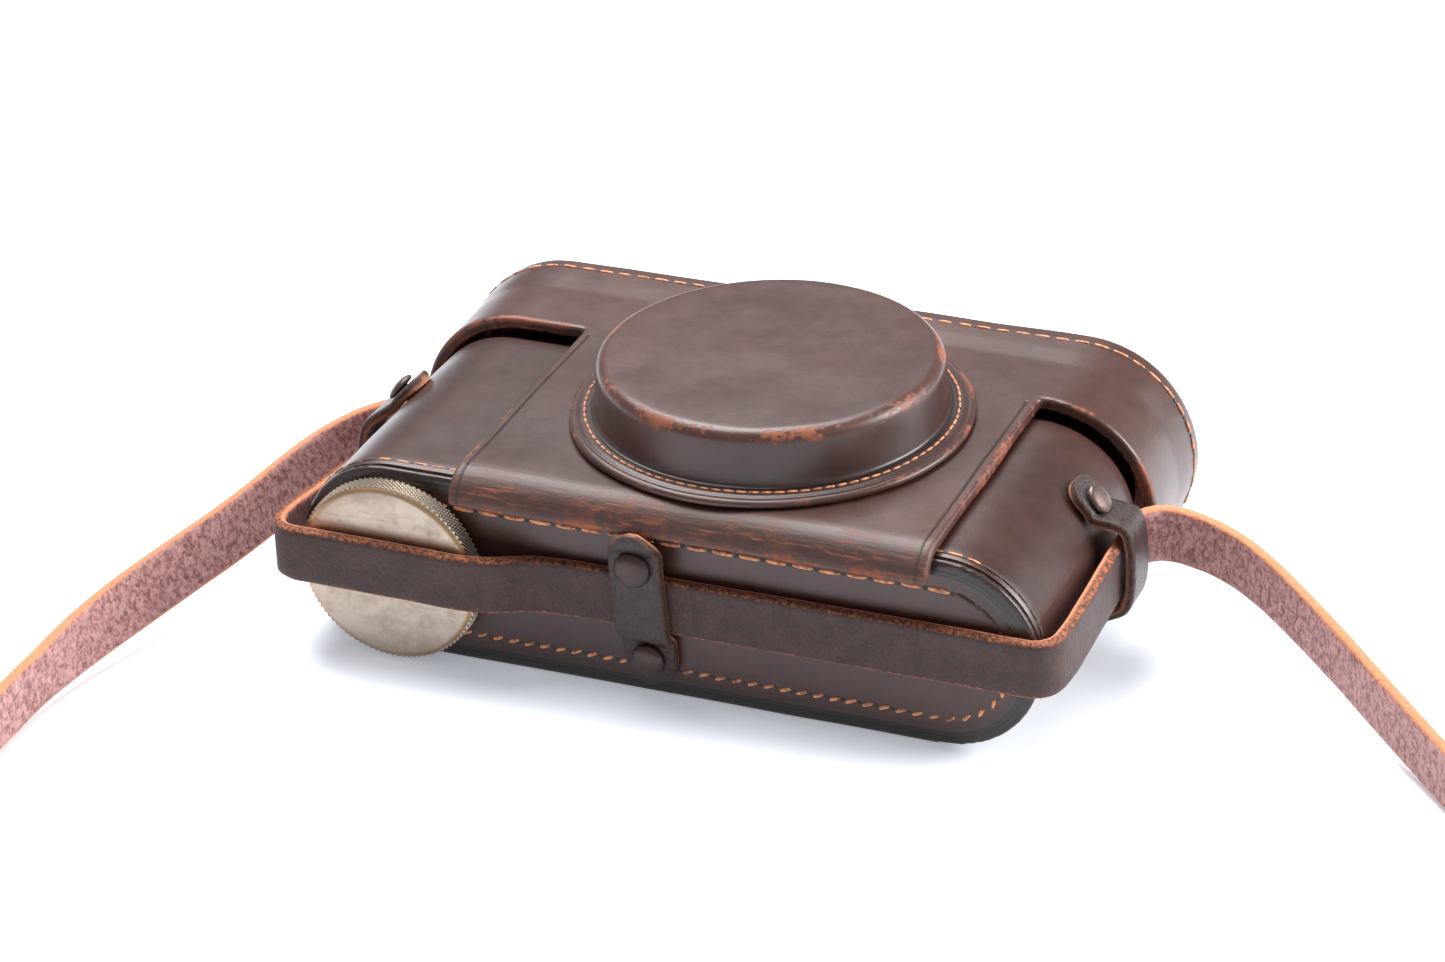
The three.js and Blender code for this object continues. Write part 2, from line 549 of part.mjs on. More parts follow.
// ---------------------------------------------------------------- loops
// A loop hugs the round end and stands off it where it holds the strap.
function strapLoop(sx, strapZ) {
  const rb = MID_Z - BAND_BACK_Z;
  const on = (deg) => {
    const a = THREE.MathUtils.degToRad(deg);
    const r = deg > 0 ? MID_Z : rb;
    const out = r + GAP + LOOP_T / 2;
    return [HALF_LENGTH - r + out * Math.cos(a), MID_Z + out * Math.sin(a)];
  };
  const standX = 75.3 + STRAP_T / 2 + GAP + LOOP_T / 2 + 0.1;
  const half = STRAP_W / 2 + 0.3;
  const degrees = Array.from({ length: 8 }, (_, i) => LOOP_END_DEG - 3.5 * i);
  const front = degrees.map(on);
  const back = degrees.map((deg) => on(-deg)).reverse();
  const line = smooth([
    ...front, [standX - 1.2, strapZ + half + 2.6], [standX, strapZ + half - 0.6], [standX + 0.3, strapZ],
    [standX, strapZ - half + 0.6], [standX - 1.2, strapZ - half - 2.2], ...back,
  ], 34).map(([x, z]) => [sx * x, z]);
  if (sx < 0) line.reverse();
  return geometryOf(solid(alongY(stripShape(line, LOOP_T), LOOP_Y))
    .subtract(loopShank(sx, 1)).subtract(loopShank(sx, -1)));
}

const loopRivet = (sx, sz) => {
  const { dir, wall } = rivetPlace(sx, sz);
  const h = 2 * GAP + LOOP_T;
  return turnedAlong([
    [0, -3.2], [1.3, -3.2], [1.3, h], [3.0, h], [2.8, h + 0.6], [1.7, h + 1.2], [0, h + 1.4],
  ], wall, dir);
};

const loopBurr = (sx, sz) => {
  const { dir, wall } = rivetPlace(sx, sz);
  const h = -LEATHER - GAP;
  return turnedAlong([[1.6, h - 0.6], [2.8, h - 0.6], [2.8, h], [1.6, h], [1.6, h - 0.6]], wall, dir);
};

// ---------------------------------------------------------------- strap
const roll = ({ x, y, r, inner }) => new THREE.LatheGeometry([
  [inner, GAP], [r, GAP], [r, ROLL_TOP_Z], [inner, ROLL_TOP_Z], [inner, GAP],
].map(([a, b]) => new THREE.Vector2(a, b)), 48).rotateX(Math.PI / 2).translate(x, y, 0);

// The buckle stands on edge inside the left roll; its bar is upright.
function buckleFrame() {
  const { w, l, wire, z } = BUCKLE;
  const outer = new THREE.Shape();
  const c = 2.4;
  const corner = (s, a, b, q) => {
    s.moveTo(-a + q, -b);
    s.lineTo(a - q, -b);
    s.absarc(a - q, -b + q, q, -Math.PI / 2, 0, false);
    s.lineTo(a, b - q);
    s.absarc(a - q, b - q, q, 0, Math.PI / 2, false);
    s.lineTo(-a + q, b);
    s.absarc(-a + q, b - q, q, Math.PI / 2, Math.PI, false);
    s.lineTo(-a, -b + q);
    s.absarc(-a + q, -b + q, q, Math.PI, 1.5 * Math.PI, false);
    return s;
  };
  corner(outer, l / 2, w / 2, c);
  outer.holes.push(corner(new THREE.Path(), l / 2 - wire, w / 2 - wire, c - 1.4));
  return new THREE.ExtrudeGeometry(outer, { depth: wire, bevelEnabled: false, curveSegments: 5 })
    .translate(0, 0, -wire / 2).rotateX(Math.PI / 2)
    .rotateZ(Math.PI / 2).translate(LEFT_ROLL.x + BUCKLE.inX, LEFT_ROLL.y + BUCKLE.inY, z);
}

const buckleProng = () => {
  const { l, wire, z } = BUCKLE;
  const { inX, inY } = BUCKLE;
  return new THREE.CylinderGeometry(0.8, 1.0, l - wire - 0.8, 12)
    .translate(LEFT_ROLL.x + inX + wire / 2 + GAP + 1.0, LEFT_ROLL.y + inY + wire / 2, z);
};

// ---------------------------------------------------------------- assembly
add('body_band', bodyBand(), LEATHER_BROWN, 0.4);
add('back_panel', backPanel(), LEATHER_BROWN, 0.5);
add('bottom_tray', bottomTray(), LEATHER_BROWN, 0.5);
add('bottom_sole', bottomSole(), LEATHER_BROWN, 0.45);
add('body_lining', bodyLining(), LINING_RED, 0.9);
add('back_lining', backLining(), LINING_RED, 0.9);
add('bottom_pad', bottomPad(), LINING_RED, 0.9);
add('lid_shell', lidShell(), LEATHER_BROWN, 0.4);
add('lid_top', lidTop(), LEATHER_BROWN, 0.45);
add('lens_box', lensBox(), LEATHER_BROWN, 0.4);
add('lid_top_pad', lidTopPad(), LINING_RED, 0.9);
add('lens_box_pad', lensBoxPad(), LINING_RED, 0.9);
add('tripod_knob', knob(), NICKEL, 0.35, 1);
add('tripod_screw', tripodScrew(), NICKEL, 0.35, 1);
add('screw_bush', screwBush(), NICKEL, 0.4, 1);
add('screw_retainer', screwRetainer(), NICKEL, 0.4, 1);
add('snap_stud', snapStud(), NICKEL, 0.35, 1);
add('snap_burr', burr(STUD.x, STUD.z), NICKEL, 0.4, 1);
add('closure_strip', closureStrip(), LEATHER_BROWN, 0.5);
add('closure_anchor', closureAnchor(), LEATHER_BROWN, 0.5);
add('snap_cap', snapCap(), LACQUER, 0.35, 0.6);
add('closure_rivet', closureRivet(), LACQUER, 0.35, 0.6);
add('closure_burr', burr(ANCHOR_RIVET.x, ANCHOR_RIVET.z), NICKEL, 0.4, 1);
for (const [side, sx, strapZ] of [['left', -1, 16.7], ['right', 1, 20.2]]) {
  add(`loop_${side}`, strapLoop(sx, strapZ), LEATHER_BROWN, 0.55);
  for (const [end, sz] of [['front', 1], ['back', -1]]) {
    add(`loop_rivet_${side}_${end}`, loopRivet(sx, sz), LACQUER, 0.4, 0.8);
    add(`loop_burr_${side}_${end}`, loopBurr(sx, sz), NICKEL, 0.4, 1);
  }
}
add('strap_base', uprightStrap(BASE_ROUTE, 84), STRAP_BROWN, 0.6);
add('strap_left', strapTube(LEFT_ROUTE, 40, LEFT_ROLL), STRAP_BROWN, 0.7);
add('strap_left_roll', roll(LEFT_ROLL), STRAP_BROWN, 0.7);
add('strap_right', strapTube(RIGHT_ROUTE, 30, RIGHT_ROLL), STRAP_BROWN, 0.7);
add('strap_right_roll', roll(RIGHT_ROLL), STRAP_BROWN, 0.7);
add('buckle_frame', buckleFrame(), NICKEL, 0.35, 1);
add('buckle_prong', buckleProng(), NICKEL, 0.35, 1);

export default root;
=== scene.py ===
"""Looks of a leather ever-ready case for a 35 mm rangefinder camera.

The case lies on its flat back, lens box upwards. Every new piece is modelled here in
millimetres, put in metres in the case's own frame, and rides on the body it belongs to.
"""

import logging
import math
from dataclasses import dataclass
from enum import Enum
from typing import Callable, Sequence

import bpy
import numpy as np
from mathutils import Matrix, Vector, noise


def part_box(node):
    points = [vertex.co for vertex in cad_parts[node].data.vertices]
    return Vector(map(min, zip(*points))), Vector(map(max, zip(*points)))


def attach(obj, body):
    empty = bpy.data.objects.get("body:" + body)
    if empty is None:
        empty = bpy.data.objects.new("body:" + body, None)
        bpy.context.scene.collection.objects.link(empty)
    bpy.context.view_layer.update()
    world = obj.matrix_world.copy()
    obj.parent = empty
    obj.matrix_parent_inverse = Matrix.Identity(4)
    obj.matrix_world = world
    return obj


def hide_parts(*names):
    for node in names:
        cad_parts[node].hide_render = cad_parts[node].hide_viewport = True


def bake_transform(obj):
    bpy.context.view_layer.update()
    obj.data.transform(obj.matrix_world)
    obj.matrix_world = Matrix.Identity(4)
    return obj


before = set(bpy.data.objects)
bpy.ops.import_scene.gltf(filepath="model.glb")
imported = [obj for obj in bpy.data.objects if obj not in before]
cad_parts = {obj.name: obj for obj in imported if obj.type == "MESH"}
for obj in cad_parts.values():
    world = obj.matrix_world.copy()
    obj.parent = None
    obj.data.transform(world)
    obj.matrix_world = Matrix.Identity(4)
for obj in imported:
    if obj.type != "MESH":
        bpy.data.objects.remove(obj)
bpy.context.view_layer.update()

log = logging.getLogger("ever_ready_case")
MM = 0.001
MID_Z = 18.9  # height of the round ends' axis
DEPTH = 37.8  # the body, back to front
HALF = 72.8  # from the middle to the tip of a round end
LENS = (7.6, -3.9)  # axis of the lens box, as x and y
KNOB = (-52.8, 18.6)  # axis of the tripod screw, as x and z
STUD = (-2.8, 28.6)  # axis of the press stud, as x and z
FOOT = (-1.6, 8.5)  # axis of the rivet in the closing tab's foot, as x and z
Point = tuple[float, float]


class Side(Enum):
    """The two ends of the case."""

    LEFT = -1
    RIGHT = 1


# ------------------------------------------------------------------ making meshes
def start_clean() -> None:
    """Leaves edit mode and deselects everything."""
    if bpy.context.object and bpy.context.object.mode != "OBJECT":
        bpy.ops.object.mode_set(mode="OBJECT")
    bpy.ops.object.select_all(action="DESELECT")


def pick(obj: bpy.types.Object) -> None:
    """Makes obj the only selected and active object."""
    start_clean()
    obj.select_set(True)
    bpy.context.view_layer.objects.active = obj


def chain(name: str, points: Sequence[Sequence[float]], closed: bool = True) -> bpy.types.Object:
    """Shapes a circle's vertices into a section.

    Args:
        name: Name of the new object.
        points: The section's points in millimetres, in order.
        closed: Whether the last point joins the first.

    Returns:
        The new object, in object mode and selected.
    """
    start_clean()
    bpy.ops.mesh.primitive_circle_add(vertices=len(points), radius=0.01, fill_type="NOTHING")
    obj = bpy.context.object
    obj.name = name
    for vertex, point in zip(obj.data.vertices, points):
        vertex.co = Vector(point) * MM
    if not closed:
        last = len(points) - 1
        bpy.ops.object.mode_set(mode="EDIT")
        bpy.ops.mesh.select_mode(type="EDGE")
        bpy.ops.mesh.select_all(action="DESELECT")
        bpy.ops.object.mode_set(mode="OBJECT")
        for edge in obj.data.edges:
            edge.select = set(edge.vertices) == {0, last}
        bpy.ops.object.mode_set(mode="EDIT")
        bpy.ops.mesh.delete(type="EDGE")
        bpy.ops.mesh.select_mode(type="VERT")
        bpy.ops.object.mode_set(mode="OBJECT")
    return obj


def open_up(obj: bpy.types.Object) -> None:
    """Enters edit mode on obj with all of it selected."""
    pick(obj)
    bpy.ops.object.mode_set(mode="EDIT")
    bpy.ops.mesh.select_mode(type="VERT")
    bpy.ops.mesh.select_all(action="SELECT")


def run(move: Sequence[float], step: float = 3.0) -> None:
    """Extrudes what is selected along a straight line, in even steps."""
    length = Vector(move).length
    steps = max(1, round(length / step))
    for _ in range(steps if length > 1e-6 else 0):
        bpy.ops.mesh.extrude_region_move(TRANSFORM_OT_translate={"value": Vector(move) * MM / steps})


def turn(degrees: float, centre: Sequence[float], axis: Sequence[float], steps: int) -> None:
    """Spins what is selected about an axis through centre, in millimetres."""
    bpy.ops.mesh.spin(steps=steps, angle=math.radians(degrees), dupli=False,
                      center=Vector(centre) * MM, axis=axis)


def close_up(obj: bpy.types.Object, fill: bool = False) -> bpy.types.Object:
    """Merges doubles, closes open ends and points the faces outwards.

    Args:
        obj: The piece.
        fill: Whether to fill its open ends.

    Returns:
        The same piece, in object mode.
    """
    open_up(obj)
    bpy.ops.mesh.remove_doubles(threshold=1e-6)
    if fill:
        bpy.ops.mesh.select_all(action="DESELECT")
        bpy.ops.mesh.select_non_manifold()
        bpy.ops.mesh.fill_holes(sides=0)
        bpy.ops.mesh.select_all(action="SELECT")
    bpy.ops.mesh.normals_make_consistent(inside=False)
    bpy.ops.object.mode_set(mode="OBJECT")
    return obj


def apply(obj: bpy.types.Object, kind: str, **settings: object) -> bpy.types.Object:
    """Adds a modifier and applies it.

    Args:
        obj: The piece.
        kind: Type of the modifier.
        **settings: Its settings, by name.

    Returns:
        The same piece.
    """
    pick(obj)
    modifier = obj.modifiers.new(kind.title(), kind)
    for key, value in settings.items():
        setattr(modifier, key, value)
    bpy.ops.object.modifier_apply(modifier=modifier.name)
    return obj


def carve(obj: bpy.types.Object, cutter: bpy.types.Object) -> bpy.types.Object:
    """Cuts the cutter's shape out of obj, and removes the cutter."""
    apply(obj, "BOOLEAN", operation="DIFFERENCE", object=cutter, solver="EXACT")
    bpy.data.objects.remove(cutter)
    return obj


def slab(low: Sequence[float], high: Sequence[float]) -> bpy.types.Object:
    """A block, used to cut other pieces.

    Args:
        low: Its lowest corner in millimetres.
        high: Its highest corner.

    Returns:
        The block.
    """
    start_clean()
    centre = [(a + b) / 2 * MM for a, b in zip(low, high)]
    bpy.ops.mesh.primitive_cube_add(size=1, location=centre)
    obj = bpy.context.object
    obj.scale = [(b - a) * MM for a, b in zip(low, high)]
    bpy.ops.object.transform_apply(location=True, rotation=True, scale=True)
    return obj


def rod(radius: float, start: Sequence[float], end: Sequence[float], sides: int) -> bpy.types.Object:
    """A cylinder, used to cut other pieces.

    Args:
        radius: Its radius in millimetres.
        start: Middle of its one end.
        end: Middle of its other end.
        sides: Number of faces round it.

    Returns:
        The cylinder.
    """
    start_clean()
    a, b = Vector(start), Vector(end)
    bpy.ops.mesh.primitive_cylinder_add(vertices=sides, radius=radius * MM, depth=(b - a).length * MM,
                                        location=(a + b) / 2 * MM)
    obj = bpy.context.object
    obj.rotation_mode = "QUATERNION"
    obj.rotation_quaternion = (b - a).to_track_quat("Z", "Y")
    bpy.ops.object.transform_apply(location=True, rotation=True, scale=True)
    return obj


def fuse(name: str, parts: Sequence[bpy.types.Object], grain: float, soften: int) -> bpy.types.Object:
    """Joins overlapping closed parts into one even skin with softened edges.

    Args:
        name: Name of the result.
        parts: Closed parts that overlap.
        grain: Size of the skin's faces in millimetres.
        soften: Passes of smoothing, which round the edges.

    Returns:
        The joined object.
    """
    start_clean()
    for part in parts:
        part.select_set(True)
    bpy.context.view_layer.objects.active = parts[0]
    if len(parts) > 1:
        bpy.ops.object.join()
    obj = bpy.context.object
    obj.name = name
    apply(obj, "REMESH", mode="VOXEL", voxel_size=grain * MM)
    return apply(obj, "SMOOTH", factor=0.5, iterations=soften)


def coordinates(obj: bpy.types.Object) -> np.ndarray:
    """The object's vertices in millimetres."""
    co = np.empty(len(obj.data.vertices) * 3)
    obj.data.vertices.foreach_get("co", co)
    return co.reshape(-1, 3) / MM


def place(obj: bpy.types.Object, co: np.ndarray) -> None:
    """Puts the object's vertices at these points, in millimetres."""
    obj.data.vertices.foreach_set("co", (co * MM).ravel())
    obj.data.update()


def undulate(obj: bpy.types.Object, height: float, size: float, seed: float = 0.0) -> None:
    """Moves each vertex along its normal by smooth noise, as worked leather is never flat.

    Args:
        obj: The piece.
        height: Largest move in millimetres.
        size: Size of the waves in millimetres.
        seed: Offset of the noise.
    """
    co = coordinates(obj)
    normals = np.array([v.normal for v in obj.data.vertices])
    shift = np.array([noise.noise(Vector(p) / size + Vector((seed, seed, seed))) for p in co])
    place(obj, co + normals * (shift * height)[:, None])


def note(obj: bpy.types.Object, name: str, values: np.ndarray) -> None:
    """Stores one number for each vertex."""
    attribute = obj.data.attributes.new(name, "FLOAT", "POINT")
    attribute.data.foreach_set("value", np.asarray(values, float))


def mark_wear(obj: bpy.types.Object, more: Callable[[np.ndarray], np.ndarray] | None = None) -> None:
    """Stores how far each vertex stands out on an edge, or lies in a hollow.

    Args:
        obj: The piece, whose vertices get the values "worn" and "sunk" from 0 to 1.
        more: Gives a factor on the wear for each vertex's place in millimetres.
    """
    mesh = obj.data
    co = coordinates(obj)
    normals = np.array([v.normal for v in mesh.vertices])
    ends = np.empty(len(mesh.edges) * 2, int)
    mesh.edges.foreach_get("vertices", ends)
    a, b = ends.reshape(-1, 2).T
    d = co[b] - co[a]
    size = np.maximum((d * d).sum(1), 1e-4)
    total, count = np.zeros(len(co)), np.zeros(len(co))
    for i, k in ((a, -(d * normals[a]).sum(1)), (b, (d * normals[b]).sum(1))):
        np.add.at(total, i, 2 * k / size)
        np.add.at(count, i, 1)
    bend = total / np.maximum(count, 1)
    for _ in range(2):
        total = bend.copy()
        np.add.at(total, a, bend[b])
        np.add.at(total, b, bend[a])
        bend = total / (count + 1)
    factor = 1.0 if more is None else more(co)
    note(obj, "worn", np.clip(bend * 2.2, 0, 1) * factor)
    # How deep each vertex lies in a hollow; the materials darken these hollows as painted shade.
    note(obj, "sunk", np.clip(-bend * 2.2, 0, 1))


def soft_shade(obj: bpy.types.Object, degrees: float = 40) -> bpy.types.Object:
    """Smooth shading, apart from edges sharper than this."""
    pick(obj)
    bpy.ops.object.shade_smooth_by_angle(angle=math.radians(degrees))
    return obj


def settle(obj: bpy.types.Object, body: str | None, look: bpy.types.Material,
           nodes: Sequence[str] = ()) -> bpy.types.Object:
    """Gives a piece its material and body, and hides the solids it stands for.

    Args:
        obj: The piece.
        body: Body that it rides on, or None if it is blended across a joint instead.
        look: Its material.
        nodes: The solids that it stands for.

    Returns:
        The same piece.
    """
    obj.data.materials.clear()
    obj.data.materials.append(look)
    if body is not None:
        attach(obj, body)
    if nodes:
        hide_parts(*nodes)
    log.info("%s: %d faces, on %s", obj.name, len(obj.data.polygons), body)
    return obj


def dress(node: str, look: bpy.types.Material) -> None:
    """Gives one of the model's own nodes a finer material."""
    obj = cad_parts[node]
    obj.data.materials.clear()
    obj.data.materials.append(look)


# ------------------------------------------------------------------ the case's outline
@dataclass(frozen=True)
class Outline:
    """A flat-backed outline with round ends, seen along Y.

    Attributes:
        back: Height of the flat back.
        front: Height of the flat front.
        half: From the middle to the tip of a round end.
    """

    back: float = 0.0
    front: float = DEPTH
    half: float = HALF

    def carry(self, name: str, section: Sequence[Point], start: float | None = None,
              step: float = 3.0) -> bpy.types.Object:
        """Carries a closed section of (y, out) points round the outline.

        Args:
            name: Name of the new object.
            section: Points; out is how far one stands outside the outline.
            start: Where on the back the sweep starts and ends, or None to go all round.
            step: Length of the straight runs' faces.

        Returns:
            The swept surface, closed up where it can be.
        """
        rb, rf = MID_Z - self.back, self.front - MID_Z
        cb, cf = self.half - rb, self.half - rf
        x0 = 0.0 if start is None else start
        obj = chain(name, [(x0, y, self.back - out) for y, out in section])
        open_up(obj)
        axis = (0, 1, 0)
        run((cb - x0, 0, 0), step)
        turn(90, (cb, 0, MID_Z), axis, 22)
        turn(90, (cf, 0, MID_Z), axis, 22)
        run((-2 * cf, 0, 0), step)
        turn(90, (-cf, 0, MID_Z), axis, 22)
        turn(90, (-cb, 0, MID_Z), axis, 22)
        run((cb - x0, 0, 0), step)
        bpy.ops.object.mode_set(mode="OBJECT")
        return close_up(obj, fill=start is not None)

    def trace(self, y: float, out: float, step: float = 1.0,
              low: float = -1e9) -> tuple[list[Vector], list[Vector]]:
        """Points and outward normals along the outline, above height low.

        Args:
            y: Place along Y.
            out: How far outside the outline.
            step: Distance between points.
            low: Points lower than this are left out.

        Returns:
            The points in order from the left back, over the front, to the right back, and the normals.
        """
        r = self.front - MID_Z
        c = self.half - r
        points: list[Vector] = []
        normals: list[Vector] = []
        turns = max(8, int(math.pi * (r + out) / step))
        for i in range(turns + 1):
            a = math.radians(270) - math.pi * i / turns
            normals.append(Vector((math.cos(a), 0, math.sin(a))))
            points.append(Vector((-c, y, MID_Z)) + normals[-1] * (r + out))
        straight = int(2 * c / step)
        for i in range(1, straight):
            normals.append(Vector((0, 0, 1)))
            points.append(Vector((-c + 2 * c * i / straight, y, MID_Z + r + out)))
        for i in range(turns + 1):
            a = math.radians(90) - math.pi * i / turns
            normals.append(Vector((math.cos(a), 0, math.sin(a))))
            points.append(Vector((c, y, MID_Z)) + normals[-1] * (r + out))
        kept = [i for i, p in enumerate(points) if p.z >= low]
        return [points[i] for i in kept], [normals[i] for i in kept]


def corner(cx: float, cy: float, r: float, start: float, end: float, n: int = 4) -> list[Point]:
    """Points of an arc, angles in degrees."""
    return [(cx + r * math.cos(math.radians(start + (end - start) * i / n)),
             cy + r * math.sin(math.radians(start + (end - start) * i / n))) for i in range(n + 1)]


def even(points: Sequence[Point], step: float) -> list[Point]:
    """Adds points so that none of a closed section's sides is longer than step."""
    result: list[Point] = []
    for a, b in zip(points, [*points[1:], points[0]]):
        n = max(1, math.ceil(math.dist(a, b) / step))
        result += [(a[0] + (b[0] - a[0]) * i / n, a[1] + (b[1] - a[1]) * i / n) for i in range(n)]
    return result


def rounded_bar(y: Point, out: Point, r: float, step: float = 2.0) -> list[Point]:
    """A closed section with round corners, between two values of y and of out."""
    (y0, y1), (o0, o1) = y, out
    return even([*corner(y0 + r, o0 + r, r, 180, 270), *corner(y1 - r, o0 + r, r, 270, 360),
                 *corner(y1 - r, o1 - r, r, 0, 90), *corner(y0 + r, o1 - r, r, 90, 180)], step)


# ------------------------------------------------------------------ materials
class Graph:
    """Builds one node material.

    Attributes:
        material: The material being built.
        tree: Its node tree.
        shader: Its shader.
        coord: Its texture coordinates, of which the Object ones are read.
    """

    def __init__(self, name: str) -> None:
        """Starts an empty material.

        Args:
            name: Name of the material.
        """
        self.material = bpy.data.materials.new(name)
        self.material.use_nodes = True
        self.tree = self.material.node_tree
        self.tree.nodes.clear()
        out = self.tree.nodes.new("ShaderNodeOutputMaterial")
        self.shader = self.tree.nodes.new("ShaderNodeBsdfPrincipled")
        self.tree.links.new(self.shader.outputs["BSDF"], out.inputs["Surface"])
        self.coord = self.tree.nodes.new("ShaderNodeTexCoord")

    def put(self, kind: str, inputs: dict | None = None, **settings: object) -> bpy.types.Node:
        """Adds a node.

        Args:
            kind: Type of the node.
            inputs: Sockets or constants for its inputs, by name or number.
            **settings: Its properties.

        Returns:
            The node.
        """
        node = self.tree.nodes.new(kind)
        for key, value in settings.items():
            setattr(node, key, value)
        for key, value in (inputs or {}).items():
            self.feed(node.inputs[key], value)
        return node

    def feed(self, socket: bpy.types.NodeSocket, value: object) -> None:
        """Links a socket to another, or gives it a constant value.

        Args:
            socket: The input socket.
            value: An output socket, a number, or a colour of three parts.
        """
        if isinstance(value, bpy.types.NodeSocket):
            self.tree.links.new(value, socket)
        elif isinstance(value, tuple) and len(value) == 3 and socket.type == "RGBA":
            socket.default_value = (*value, 1.0)
        else:
            socket.default_value = value

    def place(self, stretch: Sequence[float] = (1, 1, 1)) -> bpy.types.NodeSocket:
        """The point on the piece in millimetres, squeezed by stretch."""
        scale = [1000 * s for s in stretch]
        inputs = {"Vector": self.coord.outputs["Object"], "Scale": scale}
        return self.put("ShaderNodeMapping", inputs).outputs[0]

    def split(self, vector: bpy.types.NodeSocket) -> list[bpy.types.NodeSocket]:
        """The three parts of a vector."""
        return list(self.put("ShaderNodeSeparateXYZ", {"Vector": vector}).outputs)

    def value(self, name: str) -> bpy.types.NodeSocket:
        """A number stored on the piece's vertices."""
        return self.put("ShaderNodeAttribute", attribute_name=name).outputs["Fac"]

    def math(self, operation: str, *values: object, clamp: bool = False) -> bpy.types.NodeSocket:
        """The result of one sum on sockets or numbers."""
        return self.put("ShaderNodeMath", dict(enumerate(values)), operation=operation,
                        use_clamp=clamp).outputs[0]

    def add(self, *values: object) -> object:
        """The sum of several numbers or sockets."""
        total = values[0]
        for value in values[1:]:
            total = self.math("ADD", total, value)
        return total

    def times(self, a: object, b: object) -> bpy.types.NodeSocket:
        """The product of two numbers or sockets."""
        return self.math("MULTIPLY", a, b)

    def noise(self, size: float, detail: float = 3, rough: float = 0.5, twist: float = 0,
              stretch: Sequence[float] = (1, 1, 1),
              at: bpy.types.NodeSocket | None = None) -> bpy.types.NodeSocket:
        """Fractal noise.

        Args:
            size: Size of its features in millimetres.
            detail: Number of finer layers.
            rough: Strength of the finer layers.
            twist: How much it is distorted.
            stretch: Factors on the point along each axis; a small one draws features out.
            at: The point, or None for the place on the piece.

        Returns:
            The noise, from 0 to 1.
        """
        vector = at if at is not None else self.place(stretch)
        return self.put("ShaderNodeTexNoise", {"Vector": vector, "Scale": 1 / size, "Detail": detail,
                        "Roughness": rough, "Distortion": twist}).outputs["Fac"]

    def cells(self, size: float, feature: str = "F1") -> bpy.types.NodeSocket:
        """Distance in a field of cells about size millimetres across."""
        return self.put("ShaderNodeTexVoronoi", {"Vector": self.place(), "Scale": 1 / size},
                        feature=feature).outputs["Distance"]

    def step(self, value: object, low: float, high: float, top: float = 1.0,
             base: float = 0.0) -> bpy.types.NodeSocket:
        """Goes smoothly from one value to another.

        Args:
            value: What it depends on.
            low: Where it starts to change.
            high: Where it stops.
            top: Its value from high on.
            base: Its value up to low.

        Returns:
            The result.
        """
        node = self.put("ShaderNodeMapRange", interpolation_type="SMOOTHSTEP")
        for key, number in (("Value", value), ("From Min", low), ("From Max", high),
                            ("To Min", base), ("To Max", top)):
            self.feed(node.inputs[key], number)
        return node.outputs["Result"]

    def mix(self, amount: object, a: object, b: object) -> bpy.types.NodeSocket:
        """Mixes two colours, a where amount is 0 and b where it is 1."""
        node = self.put("ShaderNodeMix", data_type="RGBA")
        self.feed(node.inputs[0], amount)
        self.feed(node.inputs[6], a)
        self.feed(node.inputs[7], b)
        return node.outputs[2]

    def groove(self, value: object, at: float, width: float) -> bpy.types.NodeSocket:
        """1 in the middle of a line where value equals at, falling to 0 over width."""
        off = self.math("ABSOLUTE", self.math("SUBTRACT", value, at))
        return self.step(off, 0.0, width, 0.0, 1.0)

    def finish(self, color: object, roughness: object, height: object = None,
               **constants: float) -> bpy.types.Material:
        """Joins colour, roughness and a height in millimetres to the shader.

        Args:
            color: Colour socket or constant.
            roughness: Roughness socket or constant.
            height: Height of the surface's relief in millimetres.
            **constants: Other inputs of the shader, by name with underscores.

        Returns:
            The finished material.
        """
        self.feed(self.shader.inputs["Base Color"], color)
        self.feed(self.shader.inputs["Roughness"], roughness)
        for key, number in constants.items():
            self.shader.inputs[key.replace("_", " ")].default_value = number
        if height is not None:
            bump = self.put("ShaderNodeBump", {"Height": height, "Strength": 1.0, "Distance": MM})
            self.tree.links.new(bump.outputs["Normal"], self.shader.inputs["Normal"])
        return self.material


def shade(r: int, g: int, b: int) -> tuple[float, float, float]:
    """A colour given in the usual 0 to 255, made linear."""
    return tuple((c / 255 / 12.92) if c < 10 else ((c / 255 + 0.055) / 1.055) ** 2.4 for c in (r, g, b))


